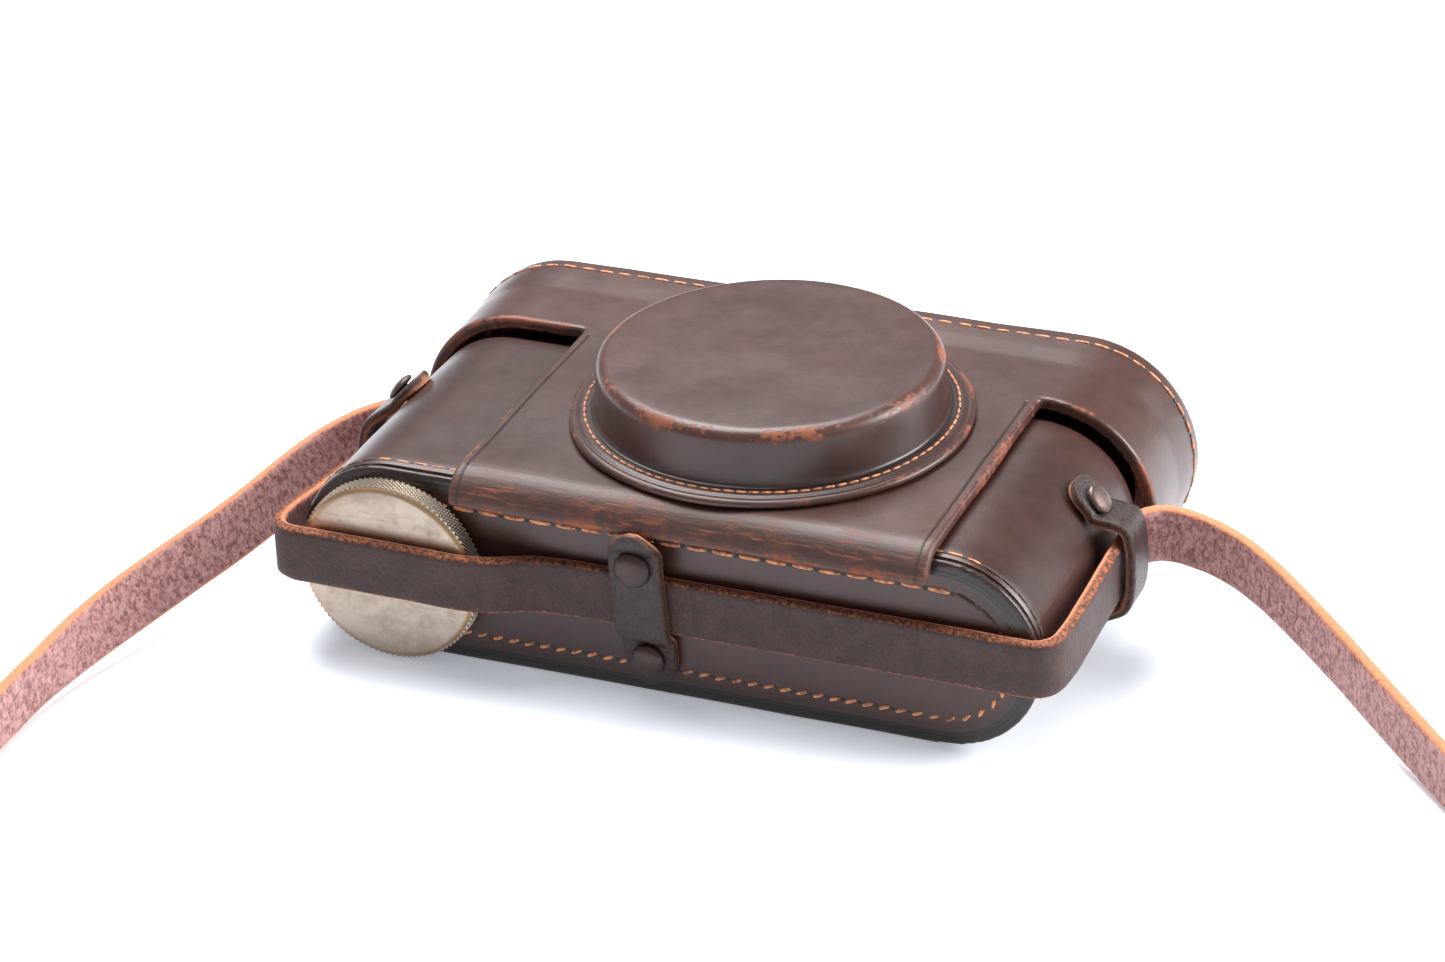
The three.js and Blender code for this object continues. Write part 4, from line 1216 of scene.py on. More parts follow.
# ------------------------------------------------------------------ body
@dataclass
class Body:
    """The moulded band round the camera, open at the top and at the lens.

    Attributes:
        looks: The finishes.
        back: Height of the band's back.
        leather: Thickness of the leather.
        bottom: Where the band ends at the sole.
        shoulder: Where the shoulder starts to round and where it ends.
        neck: How far the neck stands in from the body.
        top: Top of the neck.
        ears: Top of the back corners and their height.
        seam: Half of the open stretch of the back.
        mouth: Radius of the mouth for the lens.
    """

    looks: Finishes
    back: float = 2.5
    leather: float = 2.2
    bottom: float = -40.1
    shoulder: Point = (13.9, 17.2)
    neck: float = 4.0
    top: float = 27.0
    ears: Point = (40.5, 6.4)
    seam: float = 42.0
    mouth: float = 29.5

    def section(self) -> list[Point]:
        """The band's section.

        Returns:
            Points (y, out) from the bottom edge over the shoulder to the ears, and back inside.
        """
        y0, y1 = self.shoulder
        t, n, top = self.leather, self.neck, self.ears[0]
        curve = [(y0 + (y1 - y0) * math.sin(math.radians(a)), -n + n * math.cos(math.radians(a)))
                 for a in range(0, 91, 15)]
        return even([(self.bottom + 0.5, -t), (self.bottom, -t + 0.5), (self.bottom, -0.7),
                     (self.bottom + 0.2, -0.2), (self.bottom + 0.7, 0.0), *curve, (top - 0.6, -n),
                     (top, -n - 0.6), (top, -n - t + 0.6), (top - 0.6, -n - t), (y1 - 2.0, -n - t),
                     (y0 - 0.2, -t)], 3.0)

    def band(self) -> None:
        """The band, with its mouth cut and its top trimmed down to the ears."""
        obj = Outline(back=self.back).carry("moulded_band", self.section(), start=self.seam, step=2.6)
        carve(obj, slab((-90, self.top, self.ears[1]), (90, 60, 60)))
        x, y = LENS
        carve(obj, rod(self.mouth, (x, y, 28), (x, y, 50), 128))
        carve(obj, slab((x - self.mouth, y, 28), (x + self.mouth, 34, 50)))
        undulate(obj, 0.22, 16, 4.0)
        co = coordinates(obj)
        bottom = np.clip(1 - (co[:, 1] - self.bottom) / 1.2, 0, 1)
        note(obj, "worn", bottom * 0.55)
        note(obj, "sunk", np.zeros(len(co)))
        soft_shade(obj, 45)
        # Darker than the lid's calf: partly the band's own tone, partly painted shade of its lower walls.
        look = CalfLeather("moulded_calf", dark=shade(44, 25, 21), light=shade(59, 33, 28)).make()
        settle(obj, "case", look, ["body_band"])

    def seams(self) -> None:
        """The row that holds the bottom to the front wall and the ends."""
        points, normals = Outline().trace(-38.6, 0.02, 1.0, low=12.0)
        Seam(pitch=3.6, length=2.6, width=0.62, proud=0.24).sew(
            "bottom_seam", points, normals, "case", self.looks,
            faded=lambda p: p[0] < -56 or p[0] > 61)

    def build(self) -> None:
        """Builds the band and its seams, and dresses the back and the linings."""
        self.band()
        self.seams()
        dress("back_panel", CalfLeather("back_calf", grain=0.7, relief=0.02, gloss=0.45).make())
        for node in ("body_lining", "back_lining", "bottom_pad", "lens_box_pad", "lid_top_pad"):
            dress(node, self.looks.felt)
        line = flowing([(0, 40.25, 2.55), (0, 40.9, 2.6), (0, 41.3, 3.0), (0, 41.42, 4.0),
                        (0, 41.45, 6.5)], 0.35)
        fold = Ribbon(110.0, 0.6).lay("hinge_fold", line, up=(1, 0, 0), wave=0, ripples=0)
        settle(fold, None, self.looks.keeper)
        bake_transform(fold)


# ------------------------------------------------------------------ bottom
def plate(name: str, y: Point, out: float) -> bpy.types.Object:
    """A flat plate in the case's outline.

    Args:
        name: Name of the new object.
        y: Where it lies along Y.
        out: How far outside the outline its edge is.

    Returns:
        The plate.
    """
    points, _ = Outline().trace(y[0], out, 1.6)
    obj = chain(name, points)
    open_up(obj)
    bpy.ops.mesh.edge_face_add()
    bpy.ops.mesh.extrude_region_move(TRANSFORM_OT_translate={"value": (0, (y[1] - y[0]) * MM, 0)})
    bpy.ops.object.mode_set(mode="OBJECT")
    return close_up(obj)


def end_distance(co: np.ndarray) -> np.ndarray:
    """Distance of each point from the line that the outline is drawn round."""
    across = np.maximum(np.abs(co[:, 0]) - (HALF - MID_Z), 0)
    return np.hypot(across, co[:, 2] - MID_Z)


@dataclass
class Bottom:
    """The sole, with its waxed edge and two rows of stitches, and the tray inside it.

    Attributes:
        looks: The finishes.
        sole: Where the sole lies along Y.
        tray: Where the tray's flange lies along Y.
        rim: Where the waxed edge begins, from the outline's middle line.
        grooves: Where the waxed edge is grooved, from the same line.
        row: Where the stitches run, from the same line.
        bush: Radius of the hole for the tripod screw's bush.
    """

    looks: Finishes
    sole: Point = (-42.3, -40.3)
    tray: Point = (-40.0, -37.9)
    rim: float = 15.3
    grooves: tuple = (15.3, 16.7, 17.7)
    row: float = 13.2
    bush: float = 5.7

    def drill(self, obj: bpy.types.Object, rivet: float) -> None:
        """Drills a plate for the tripod screw's bush, the press stud and the tab's rivet.

        Args:
            obj: The plate.
            rivet: Radius of the holes for the stud and the rivet.
        """
        for (x, z), r in ((KNOB, self.bush), (STUD, rivet), (FOOT, rivet)):
            carve(obj, rod(r, (x, -50, z), (x, -30, z), 40))

    def make_sole(self) -> None:
        """The sole, a little thinner towards its waxed edge."""
        obj = fuse("sole", [plate("sole_plate", self.sole, 0.0)], 0.62, 5)
        self.drill(obj, 1.6)
        co = coordinates(obj)
        far = end_distance(co)
        outer = co[:, 1] < sum(self.sole) / 2
        groove = sum(np.exp(-((far - at) / 0.28) ** 2) for at in self.grooves)
        thinner = 0.35 * np.clip((far - self.rim) / 3.5, 0, 1) ** 2
        co[:, 1] += np.where(outer, 0.22 * groove + thinner, 0)
        place(obj, co)
        undulate(obj, 0.12, 18, 2.0)
        mark_wear(obj)
        note(obj, "rim", np.clip((far - self.rim) / 0.5, 0, 1))
        note(obj, "rings", far)
        soft_shade(obj, 50)
        look = CalfLeather("sole_leather", grain=0.6, relief=0.02, gloss=0.4, wear=0.7).make(rim=True)
        settle(obj, "case", look, ["bottom_sole"])

    def make_tray(self) -> None:
        """The tray that the sole is sewn to."""
        bar = rounded_bar((self.tray[0] + 0.4, -35.0), (-4.4, -2.6), 0.5)
        rim = Outline(back=2.5).carry("tray_rim", bar, step=4)
        obj = fuse("tray", [plate("tray_plate", self.tray, -2.5), rim], 0.8, 3)
        self.drill(obj, 2.9)
        mark_wear(obj)
        settle(soft_shade(obj, 50), "case", CalfLeather("tray_leather", gloss=0.5).make(),
               ["bottom_tray"])

    def seams(self) -> None:
        """The rows near the front and back edges, which meet round the ends."""
        y = self.sole[0] + 0.02
        front, _ = Outline().trace(y, self.row - MID_Z, 1.0, low=MID_Z + 2)
        Seam(pitch=5.2, length=4.1, width=0.95, proud=0.42).sew(
            "sole_front_seam", front, [Vector((0, -1, 0)) for _ in front], "case",
            self.looks, faded=lambda p: abs(p[0]) > 57)
        reach = HALF - MID_Z
        back = [Vector((x, y, MID_Z - self.row)) for x in np.arange(-reach, reach, 1.0)]
        for degrees in range(0, 76, 4):
            a = math.radians(degrees - 90)
            back.append(Vector((reach + self.row * math.cos(a), y, MID_Z + self.row * math.sin(a))))
        Seam(pitch=3.2, length=2.2, width=0.78, proud=0.36, slant=24).sew(
            "sole_back_seam", back, [Vector((0, -1, 0)) for _ in back], "case",
            self.looks)

    def build(self) -> None:
        """Builds the sole, the tray and the seams."""
        self.make_sole()
        self.make_tray()
        self.seams()


# ------------------------------------------------------------------ lid
@dataclass
class Lid:
    """The lid: a skirt over the case's top, a flap over its front and a stitched top.

    Attributes:
        looks: The finishes.
        clear: Clearance over the body.
        leather: Thickness of the leather.
        skirt: Where the skirt lies along Y.
        skirt_back: Where the skirt's round ends stop.
        flap: Where the flap lies along X.
        lip: Inner face of the lip, along Y.
        lip_end: Height of the lip's edge.
        bend: Inner radius of the lip's bend.
        hole: Radius of the hole under the lens box.
    """

    looks: Finishes
    clear: float = 0.35
    leather: float = 2.5
    skirt: Point = (17.6, 45.4)
    skirt_back: float = 6.9
    flap: Point = (-40.0, 52.9)
    lip: float = -43.7
    lip_end: float = 34.5
    bend: float = 3.8
    hole: float = 28.6

    def cut_back(self, obj: bpy.types.Object, height: float) -> bpy.types.Object:
        """Cuts away all that is lower than height."""
        open_up(obj)
        bpy.ops.mesh.bisect(plane_co=(0, 0, height * MM), plane_no=(0, 0, 1), use_fill=True,
                            clear_inner=True)
        bpy.ops.object.mode_set(mode="OBJECT")
        return close_up(obj)

    def make_skirt(self) -> bpy.types.Object:
        """The skirt, open at the back."""
        lo, hi = self.clear, self.clear + self.leather
        y0, y1 = self.skirt
        section = even([(y0, lo), (y1 - 0.4, lo), (y1, lo + 0.5),
                        *corner(y1 - 1.9, hi - 1.35, 1.9, 0, 90, 5), (y1 - 4, hi + 0.6),
                        (y1 - 8, hi + 0.4), (y1 - 13, hi), (y0 + 0.3, hi), (y0, hi - 0.3)], 2.0)
        return self.cut_back(Outline().carry("skirt", section, step=3.0), self.skirt_back)

    def make_flap(self) -> bpy.types.Object:
        """The flap with its lip bent over the bottom edge, and the hole for the lens.

        Returns:
            The flap.
        """
        inner = DEPTH + self.clear
        y, z = self.lip + self.bend, inner - self.bend
        profile = [(22.0, inner), (22.0, inner + self.leather),
                   *corner(y, z, self.bend + self.leather, 90, 180, 9),
                   (self.lip - self.leather, self.lip_end), (self.lip, self.lip_end),
                   *corner(y, z, self.bend, 180, 90, 6)]
        obj = chain("flap", [(self.flap[0], a, b) for a, b in profile])
        open_up(obj)
        run((self.flap[1] - self.flap[0], 0, 0), 3.0)
        bpy.ops.object.mode_set(mode="OBJECT")
        close_up(obj, fill=True)
        return carve(obj, rod(self.hole, (*LENS, 30), (*LENS, 50), 128))

    def rub_edges(self, obj: bpy.types.Object) -> None:
        """Adds to the value "worn" along the flap's sides and the lip's edge.

        Args:
            obj: The shell, whose wear is marked already.
        """
        co = coordinates(obj)
        values = np.empty(len(co))
        worn = obj.data.attributes["worn"].data
        worn.foreach_get("value", values)
        sides = np.minimum(np.abs(co[:, 0] - self.flap[0]), np.abs(co[:, 0] - self.flap[1]))
        on_side = np.exp(-(sides / 0.5) ** 2) * (co[:, 1] < 17) * (co[:, 2] > 36)
        on_lip = np.clip((self.lip_end + 0.8 - co[:, 2]) / 0.8, 0, 1) * (co[:, 1] < -40)
        worn.foreach_set("value", np.clip(np.maximum(values, on_side * 0.85 + on_lip * 0.9), 0, 1))

    def shell(self) -> None:
        """Skirt and flap as one moulded piece."""
        obj = fuse("lid_shell_leather", [self.make_skirt(), self.make_flap()], 0.52, 2)
        undulate(obj, 0.3, 19, 9.0)
        lo, hi = self.flap

        def more(co: np.ndarray) -> np.ndarray:
            """Most wear along the lip and the flap's sides, none at the hole under the lens box."""
            hidden = np.hypot(co[:, 0] - LENS[0], co[:, 1] - LENS[1]) < 37
            lip = np.clip((-36 - co[:, 1]) / 5, 0, 1)
            return np.where(hidden, 0, 0.75 + 0.75 * lip)
        mark_wear(obj, more)
        self.rub_edges(obj)
        soft_shade(obj, 50)

        def creases(g: Graph) -> object:
            """A line pressed beside each side edge of the flap."""
            x, y, _ = g.split(g.place())
            low = g.step(y, 15.0, 16.0, 0.0, 1.0)
            sides = g.add(g.groove(x, lo + 1.9, 0.35), g.groove(x, hi - 1.9, 0.35))
            return g.times(g.times(sides, low), 0.22)

        def scuffs(g: Graph) -> object:
            """Rubbed along the bend of the lip, and most above the closure."""
            x, y, _ = g.split(g.place())
            bend = g.step(y, -45.5, -36.5, 0.0, 1.0)
            beside = g.step(g.math("ABSOLUTE", g.math("SUBTRACT", x, -2.2)), 4, 14, 0.0, 1.0)
            return g.math("MAXIMUM", bend, g.times(beside, g.step(y, -46, -38, 0.0, 1.0)))
        look = CalfLeather("lid_calf", dark=shade(54, 33, 29), light=shade(70, 44, 38)).make(creases, scuffs)
        settle(obj, "lid", look, ["lid_shell"])

    def top(self) -> None:
        """The stitched top plate with the rim that holds it in the skirt."""
        disc = self.cut_back(plate("top_plate", (42.0, 44.3), self.clear - 0.25), 0.45)
        bar = rounded_bar((34.5, 42.2), (self.clear - 2.1, self.clear - 0.3), 0.4)
        rim = self.cut_back(Outline().carry("top_rim", bar, step=4), self.skirt_back + 1.2)
        obj = fuse("lid_top_leather", [disc, rim], 0.66, 4)
        undulate(obj, 0.14, 15, 6.0)
        mark_wear(obj)
        soft_shade(obj, 50)
        settle(obj, "lid", CalfLeather("top_calf", gloss=0.38).make(), ["lid_top"])

    def seams(self) -> None:
        """The row that holds the top, round the skirt."""
        points, normals = Outline().trace(41.0, self.clear + self.leather + 0.62, 1.0, low=9.0)
        Seam(pitch=4.0, length=2.9, width=0.7, proud=0.26).sew(
            "top_seam", points, normals, "lid", self.looks)

    def build(self) -> None:
        """Builds the shell, the top and the row."""
        self.shell()
        self.top()
        self.seams()


@dataclass
class LensBox:
    """The moulded box over the lens, sewn to the flap by its flange.

    Attributes:
        looks: The finishes.
        floor: Underside of the flange.
        flange: Radius and thickness of the flange.
        base: Radius of the wall at its foot.
        crown: Radius of the wall at its top.
        top: Height of the top.
        wall: Thickness of the leather.
        row: Radius of the row of stitches.
    """

    looks: Finishes
    floor: float = 40.95
    flange: Point = (38.0, 2.0)
    base: float = 33.1
    crown: float = 32.6
    top: float = 53.5
    wall: float = 2.2
    row: float = 34.95

    def profile(self) -> list[Point]:
        """The box's section.

        Returns:
            Points (radius, height) from the inside of the top, round the flange, to its outside.
        """
        r, t = self.flange
        z1 = self.floor + t
        fillet = 2.5
        outside = [*corner(self.base + 0.9, z1 + 0.8, 0.9, 270, 180, 4),
                   *corner(self.crown - fillet, self.top - fillet, fillet, 0, 90, 7)]
        return [(0, self.top - self.wall), (14, self.top - self.wall), (27.4, self.top - self.wall),
                (28.8, self.top - self.wall - 1.2), (self.base - self.wall, self.floor),
                (r - 0.4, self.floor), (r, self.floor + 0.1), (r + 0.02, self.floor + 0.9),
                (r - 0.15, self.floor + 1.15), (37.3, z1 - 0.5), (36.95, z1 - 0.45),
                (36.6, z1 - 0.62), (36.25, z1 - 0.35), (35.7, z1 - 0.1), (35.2, z1 - 0.16),
                (34.7, z1 - 0.16), (34.3, z1 - 0.04), *outside, (28, self.top + 0.02),
                (25, self.top + 0.03), *((q, self.top - 0.05 + 0.08 * q / 24) for q in (20, 16, 12, 8, 4)),
                (0, self.top - 0.05)]

    def build(self) -> None:
        """Turns the box and sews it on."""
        x, y = LENS
        obj = chain("lens_box_leather", [(x + r, y, z) for r, z in self.profile()], closed=False)
        open_up(obj)
        turn(360, (x, y, 0), (0, 0, 1), 168)
        bpy.ops.object.mode_set(mode="OBJECT")
        close_up(obj)
        apply(obj, "SUBSURF", levels=1, render_levels=1, subdivision_type="CATMULL_CLARK")
        undulate(obj, 0.22, 13, 12.0)
        co = coordinates(obj)
        far = np.hypot(co[:, 0] - x, co[:, 1] - y)
        crown = np.exp(-((far - 31.8) / 1.0) ** 2) * np.clip((co[:, 2] - 50.3) / 1.6, 0, 1)
        rim = np.exp(-((far - 37.6) / 0.6) ** 2) * 0.6
        note(obj, "worn", np.clip(crown * 1.1 + rim, 0, 1))
        # Painted shade in the crease at the foot of the wall, stored as the hollow value.
        foot = np.exp(-((far - 33.8) / 0.5) ** 2) * (co[:, 2] < 44)
        note(obj, "sunk", foot)
        soft_shade(obj, 50)
        look = CalfLeather("box_calf", dark=shade(51, 31, 27), light=shade(69, 43, 37), gloss=0.34).make()
        settle(obj, "lid", look, ["lens_box"])
        z = self.floor + self.flange[1] - 0.14
        ring = [Vector((x + self.row * math.cos(a), y + self.row * math.sin(a), z))
                for a in np.linspace(0, 2 * math.pi, 240, endpoint=False)]
        Seam(pitch=2.3, length=1.95, width=0.5, proud=0.24).sew(
            "lens_box_seam", ring, [Vector((0, 0, 1)) for _ in ring], "lid",
            self.looks, ring=True)


# ------------------------------------------------------------------ small turned pieces
def lathe(name: str, profile: Sequence[Point], origin: Sequence[float], way: Sequence[float],
          steps: int = 48) -> bpy.types.Object:
    """A piece turned about an axis.

    Args:
        name: Name of the new object.
        profile: Points (radius, height) from the axis to the axis, or a closed loop.
        origin: Where height 0 lies on the axis, in millimetres.
        way: Direction of the axis.
        steps: Number of faces round the piece.

    Returns:
        The closed piece.
    """
    obj = chain(name, [(r, 0, h) for r, h in profile], closed=profile[0][0] > 0)
    open_up(obj)
    turn(360, (0, 0, 0), (0, 0, 1), steps)
    bpy.ops.object.mode_set(mode="OBJECT")
    facing = Vector(way).to_track_quat("Z", "Y").to_matrix().to_4x4()
    obj.matrix_world = Matrix.Translation(Vector(origin) * MM) @ facing
    pick(obj)
    bpy.ops.object.transform_apply(location=True, rotation=True, scale=True)
    return close_up(obj)


def dome(radius: float, height: float) -> list[Point]:
    """Profile of a domed head with a rolled edge, standing on height 0."""
    arc = [(radius * math.cos(math.radians(a)), height * (0.3 + 0.7 * math.sin(math.radians(a))))
           for a in range(0, 90, 11)]
    return [(radius * 0.9, 0), (radius, height * 0.12), *arc, (0, height)]


@dataclass
class Tripod:
    """The knurled tripod screw in the sole.

    Attributes:
        looks: The finishes.
        centre: Where its axis crosses the sole, as x and z.
        radius: Radius over the knurling.
        faces: Where the knob lies along Y.
        line: Radius where the plating is worn down to the brass.
        columns: Number of faces round the knurling, four to a diamond.
        rows: Number of faces across it, four to a diamond.
    """

    looks: Finishes
    centre: Point = KNOB
    radius: float = 18.2
    faces: Point = (-47.4, -42.9)
    line: float = 17.3
    columns: int = 400
    rows: int = 16

    def build(self) -> None:
        """Turns the knob, presses its knurling, and dresses the screw and its bush."""
        (x, z), (y0, y1), r = self.centre, self.faces, self.radius
        thick = y1 - y0
        flat = r - 0.25
        face = [(0, thick - 0.05), (5, thick - 0.04), (10, thick - 0.02), (14, thick), (16.6, thick),
                (17.0, thick - 0.08), (17.35, thick - 0.3), (17.6, thick - 0.6)]
        rim = [(flat, h) for h in np.linspace(thick - 0.7, 0.7, self.rows + 1)]
        profile = [(0, 0), (10, 0), (16.8, 0), (17.5, 0.5), *reversed(rim), *reversed(face)]
        obj = lathe("tripod_knob_knurled", profile, (x, y1, z), (0, -1, 0), self.columns)
        co = coordinates(obj)
        far = np.hypot(co[:, 0] - x, co[:, 2] - z)
        column = np.round(np.arctan2(co[:, 2] - z, co[:, 0] - x) / (2 * math.pi) * self.columns)
        row = np.round((y1 - co[:, 1] - 0.7) / (thick - 1.4) * self.rows)
        rise = np.minimum(2 - np.abs((column + row) % 4 - 2), 2 - np.abs((column - row) % 4 - 2))
        push = np.where(np.abs(far - flat) < 0.05, 0.25 * (rise - 1), 0)
        co[:, 0] += push * (co[:, 0] - x) / np.maximum(far, 1)
        co[:, 2] += push * (co[:, 2] - z) / np.maximum(far, 1)
        place(obj, co)
        # The knurling's pits are stored as hollows, which the material darkens as painted shade.
        note(obj, "sunk", (push < 0).astype(float))
        note(obj, "worn", np.exp(-((far - self.line) / 0.28) ** 2) * 0.8)
        soft_shade(obj, 24)
        look = WornMetal("knob_nickel", shade(170, 156, 142), shade(138, 121, 104), 0.4, 0.4).make(
            line=self.looks.brass)
        settle(obj, "tripod", look, ["tripod_knob"])
        for node in ("tripod_screw", "screw_bush", "screw_retainer"):
            dress(node, self.looks.nickel)


@dataclass
class Closure:
    """The closing tab, its press stud's cap and the rivet that holds its foot.

    Attributes:
        looks: The finishes.
        ribbon: The tab's section.
        lean: Middle of the tab along X, at its foot and at its end.
        line: The tab's middle line, from its foot over the strap to its end, as y and z.
        cap: Place of the cap, and of the foot's rivet, as x, y and z.
    """

    looks: Finishes
    ribbon: Ribbon = Ribbon(10.4, 2.0)
    lean: Point = (-1.4, -2.7)
    line: tuple = ((-43.6, 3.2), (-43.6, 6.0), (-43.6, 9.5), (-43.65, 11.6), (-44.05, 12.7), (-45.1, 13.5),
                   (-45.95, 14.5), (-46.2, 16.2), (-46.2, 20), (-46.2, 26), (-46.2, 30.6), (-46.35, 31.8),
                   (-47.15, 33.2), (-47.45, 34.2), (-47.3, 35.6))
    cap: tuple = ((STUD[0], -47.25, STUD[1]), (FOOT[0], -44.65, FOOT[1]))

    def build(self) -> None:
        """Builds the tab, the cap and the rivet."""
        line = flowing([(float(np.interp(p[1], (8, 28), self.lean)), *p) for p in self.line], 0.5)
        tab = self.ribbon.lay("closing_tab", line, up=(1, 0, 0), face=1.0, wave=0.0, tip=5.2,
                              both_tips=True)
        settle(tab, None, self.looks.tab, ["closure_anchor", "closure_strip"])
        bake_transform(tab)
        socket = [(0, 0.4), (2.5, 0.4), (2.5, -1.5), (3.0, -1.5), (3.0, 0.0)]
        cap = lathe("press_stud_cap", [*socket, *dome(3.5, 1.75)[1:]], self.cap[0], (0, -1, 0), 40)
        note(cap, "worn", np.zeros(len(cap.data.vertices)))
        settle(soft_shade(cap, 50), "closure", self.looks.lacquer, ["snap_cap"])
        shank = [(0, -7.0), (1.3, -7.0), (1.3, -0.1), (2.6, -0.1)]
        head = lathe("foot_rivet_head", [*shank, *dome(3.2, 1.6)], self.cap[1], (0, -1, 0), 40)
        note(head, "worn", np.zeros(len(head.data.vertices)))
        settle(soft_shade(head, 50), "case", self.looks.lacquer, ["closure_rivet"])
        for node in ("snap_stud", "snap_burr", "closure_burr"):
            dress(node, self.looks.nickel)


@dataclass
class Loops:
    """The two leather loops that hold the strap at the round ends.

    Attributes:
        looks: The finishes.
        y: Where a loop lies along Y.
        thick: Thickness of its leather.
        reach: Degrees that it runs round the end, to each side.
        rivets: Degrees of its front and back rivets.
        strap_z: Height of the strap in the left and the right loop.
    """

    looks: Finishes
    y: Point = (-6.6, 2.8)
    thick: float = 1.9
    reach: float = 54.0
    rivets: Point = (38.5, 43.0)
    strap_z: Point = (16.5, 20.2)

    def line(self, side: Side) -> list[tuple]:
        """The loop's middle line.

        Args:
            side: The end of the case that it is on.

        Returns:
            Points in millimetres, from the front to the back.
        """
        strap_z = self.strap_z[0 if side is Side.LEFT else 1]

        def on(degrees: float) -> tuple:
            """A point of the line where the loop lies on the case."""
            r = MID_Z if degrees > 0 else MID_Z - 2.5
            a = math.radians(degrees)
            out = r + 0.3 + self.thick / 2
            return (HALF - r + out * math.cos(a), MID_Z + out * math.sin(a))
        stand, half = 75.3 + 1.15 + 0.3 + self.thick / 2 + 0.1, 5.9
        front = [on(self.reach - 4.1 * i) for i in range(6)]
        back = [on(-self.reach + 4.1 * i) for i in range(6)]
        hump = [(stand - 1.2, strap_z + half + 2.6), (stand, strap_z + half - 0.6), (stand + 0.3, strap_z),
                (stand, strap_z - half + 0.6), (stand - 1.2, strap_z - half - 2.2)]
        middle = sum(self.y) / 2
        return [(side.value * x, middle, z) for x, z in [*front, *hump, *reversed(back)]]

    def build(self) -> None:
        """Builds both loops with their four rivets."""
        for side in Side:
            word = side.name.lower()
            line = flowing(self.line(side), 0.55)
            loop = Ribbon(self.y[1] - self.y[0], self.thick).lay(
                f"strap_loop_{word}", line, up=(0, 1, 0), face=-side.value, wave=0.15, tip=3.4,
                both_tips=True)
            settle(loop, "case", self.looks.tab, [f"loop_{word}"])
            ends = (("front", 1, self.rivets[0]), ("back", -1, self.rivets[1]))
            for where, sign, degrees in ends:
                a = math.radians(degrees)
                r = MID_Z if sign > 0 else MID_Z - 2.5
                way = (side.value * math.cos(a), 0, sign * math.sin(a))
                start = (side.value * (HALF - r), sum(self.y) / 2, MID_Z)
                at = [s + w * (r + 0.6 + self.thick) for s, w in zip(start, way)]
                shank = [(0, -5.7), (1.3, -5.7), (1.3, -0.1), (2.4, -0.1)]
                head = lathe(f"loop_rivet_{word}_{where}_head", [*shank, *dome(3.0, 1.45)], at, way, 36)
                note(head, "worn", np.zeros(len(head.data.vertices)))
                settle(soft_shade(head, 50), "case", self.looks.loop_cap,
                       [f"loop_rivet_{word}_{where}"])
                dress(f"loop_burr_{word}_{where}", self.looks.nickel)


@dataclass
class Fittings:
    """The buckle on the strap's rolled end.

    Attributes:
        looks: The finishes.
    """

    looks: Finishes

    def build(self) -> None:
        """Dresses the buckle's frame and prong."""
        for node in ("buckle_frame", "buckle_prong"):
            dress(node, self.looks.nickel)


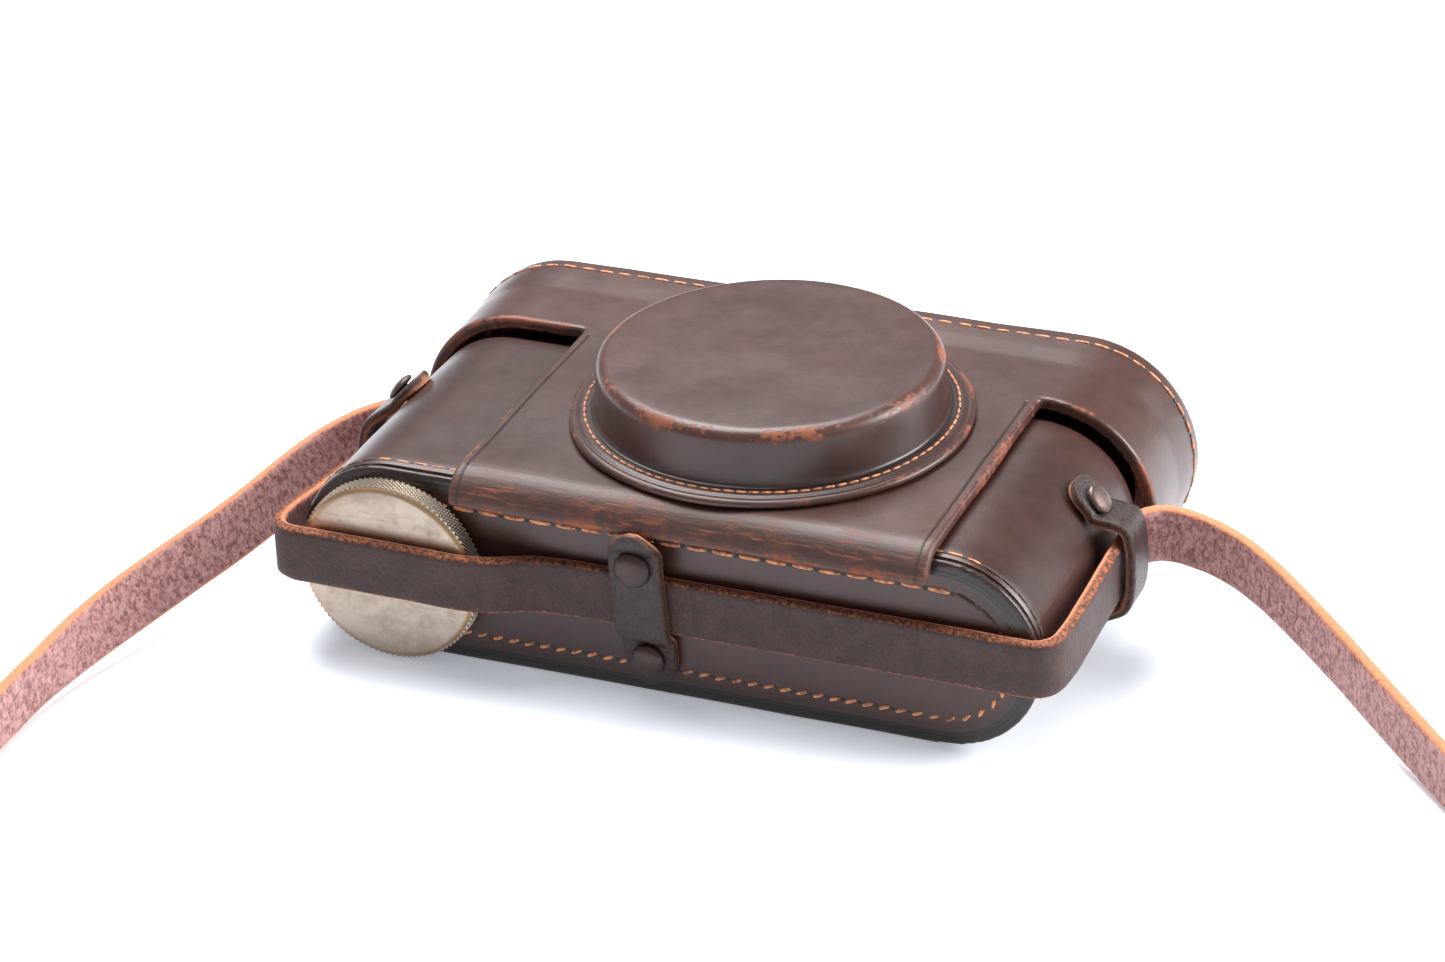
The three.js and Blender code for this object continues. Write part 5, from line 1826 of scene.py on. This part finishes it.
# ------------------------------------------------------------------ studio
@dataclass(frozen=True)
class Studio:
    """Camera, lights and floor.

    Attributes:
        eye: Camera's place in millimetres.
        yaw: Camera's turn to the left, in radians.
        pitch: Camera's tilt, in radians.
        roll: Camera's roll, in radians.
        lens: Focal length for a 36 mm wide sensor.
    """

    eye: tuple = (279.77, -665.38, 413.67)
    yaw: float = 0.404
    pitch: float = -0.496
    roll: float = -0.038
    lens: float = 107.8

    def set_camera(self) -> None:
        """Puts the camera in its place."""
        level = math.cos(self.pitch)
        forward = Vector((-math.sin(self.yaw) * level, math.cos(self.yaw) * level, math.sin(self.pitch)))
        right = Vector((math.cos(self.yaw), math.sin(self.yaw), 0))
        up = right.cross(forward)
        c, s = math.cos(self.roll), math.sin(self.roll)
        x, y = right * c + up * s, up * c - right * s
        data = bpy.data.cameras.new("camera")
        data.lens = self.lens
        data.sensor_width = 36.0
        data.clip_start = 0.01
        camera = bpy.data.objects.new("camera", data)
        camera.matrix_world = Matrix.Translation(Vector(self.eye) * MM) @ Matrix(
            ((x.x, y.x, -forward.x), (x.y, y.y, -forward.y), (x.z, y.z, -forward.z))).to_4x4()
        bpy.context.scene.collection.objects.link(camera)
        bpy.context.scene.camera = camera

    def lamp(self, name: str, place_at: Sequence[float], aim: Sequence[float], size: float, power: float,
             color: Sequence[float] = (1, 1, 1)) -> None:
        """Adds a square soft light.

        Args:
            name: Name of the light.
            place_at: Where it stands, in metres.
            aim: The point that it faces.
            size: Length of its side.
            power: Its power in watts.
            color: Its colour.
        """
        data = bpy.data.lights.new(name, "AREA")
        data.size, data.energy, data.color = size, power, color
        obj = bpy.data.objects.new(name, data)
        obj.location = place_at
        obj.rotation_euler = (Vector(aim) - Vector(place_at)).to_track_quat("-Z", "Y").to_euler()
        bpy.context.scene.collection.objects.link(obj)

    def light(self) -> None:
        """Adds the lights and the pale surroundings."""
        world = bpy.data.worlds.new("studio")
        world.use_nodes = True
        world.node_tree.nodes["Background"].inputs["Color"].default_value = (0.93, 0.96, 1.0, 1.0)
        world.node_tree.nodes["Background"].inputs["Strength"].default_value = 0.42
        bpy.context.scene.world = world
        bpy.context.scene.view_settings.view_transform = "Standard"
        self.lamp("key", (-0.3, 0.3, 0.95), (0, 0, 0.02), 0.8, 23)
        self.lamp("rim", (0.95, 0.35, 0.5), (0, 0, 0.02), 0.6, 20)
        self.lamp("fill", (0.5, -0.9, 0.6), (0, 0, 0.02), 0.9, 0.6, (1.0, 0.96, 0.92))

    def floor(self) -> None:
        """Adds the pale floor, a little wider than the view."""
        start_clean()
        bpy.ops.mesh.primitive_plane_add(size=6.0, location=(0, 0, -0.0002))
        obj = bpy.context.object
        obj.name = "floor"
        bpy.ops.object.transform_apply(location=True, rotation=True, scale=True)
        g = Graph("paper")
        obj.data.materials.append(g.finish(g.mix(g.noise(40, 2), (0.78, 0.81, 0.86), (0.8, 0.83, 0.88)), 0.9,
                                           Emission_Color=(0.86, 0.91, 1.0, 1.0), Emission_Strength=0.28))


def main() -> None:
    """Builds the whole scene."""
    logging.basicConfig(level=logging.INFO, format="%(message)s")
    studio = Studio()
    studio.set_camera()
    looks = Finishes()
    NeckStrap(looks).build()
    Body(looks).build()
    Bottom(looks).build()
    Lid(looks).build()
    LensBox(looks).build()
    Tripod(looks).build()
    Closure(looks).build()
    Loops(looks).build()
    Fittings(looks).build()
    studio.light()
    studio.floor()


if __name__ == "__main__":
    main()
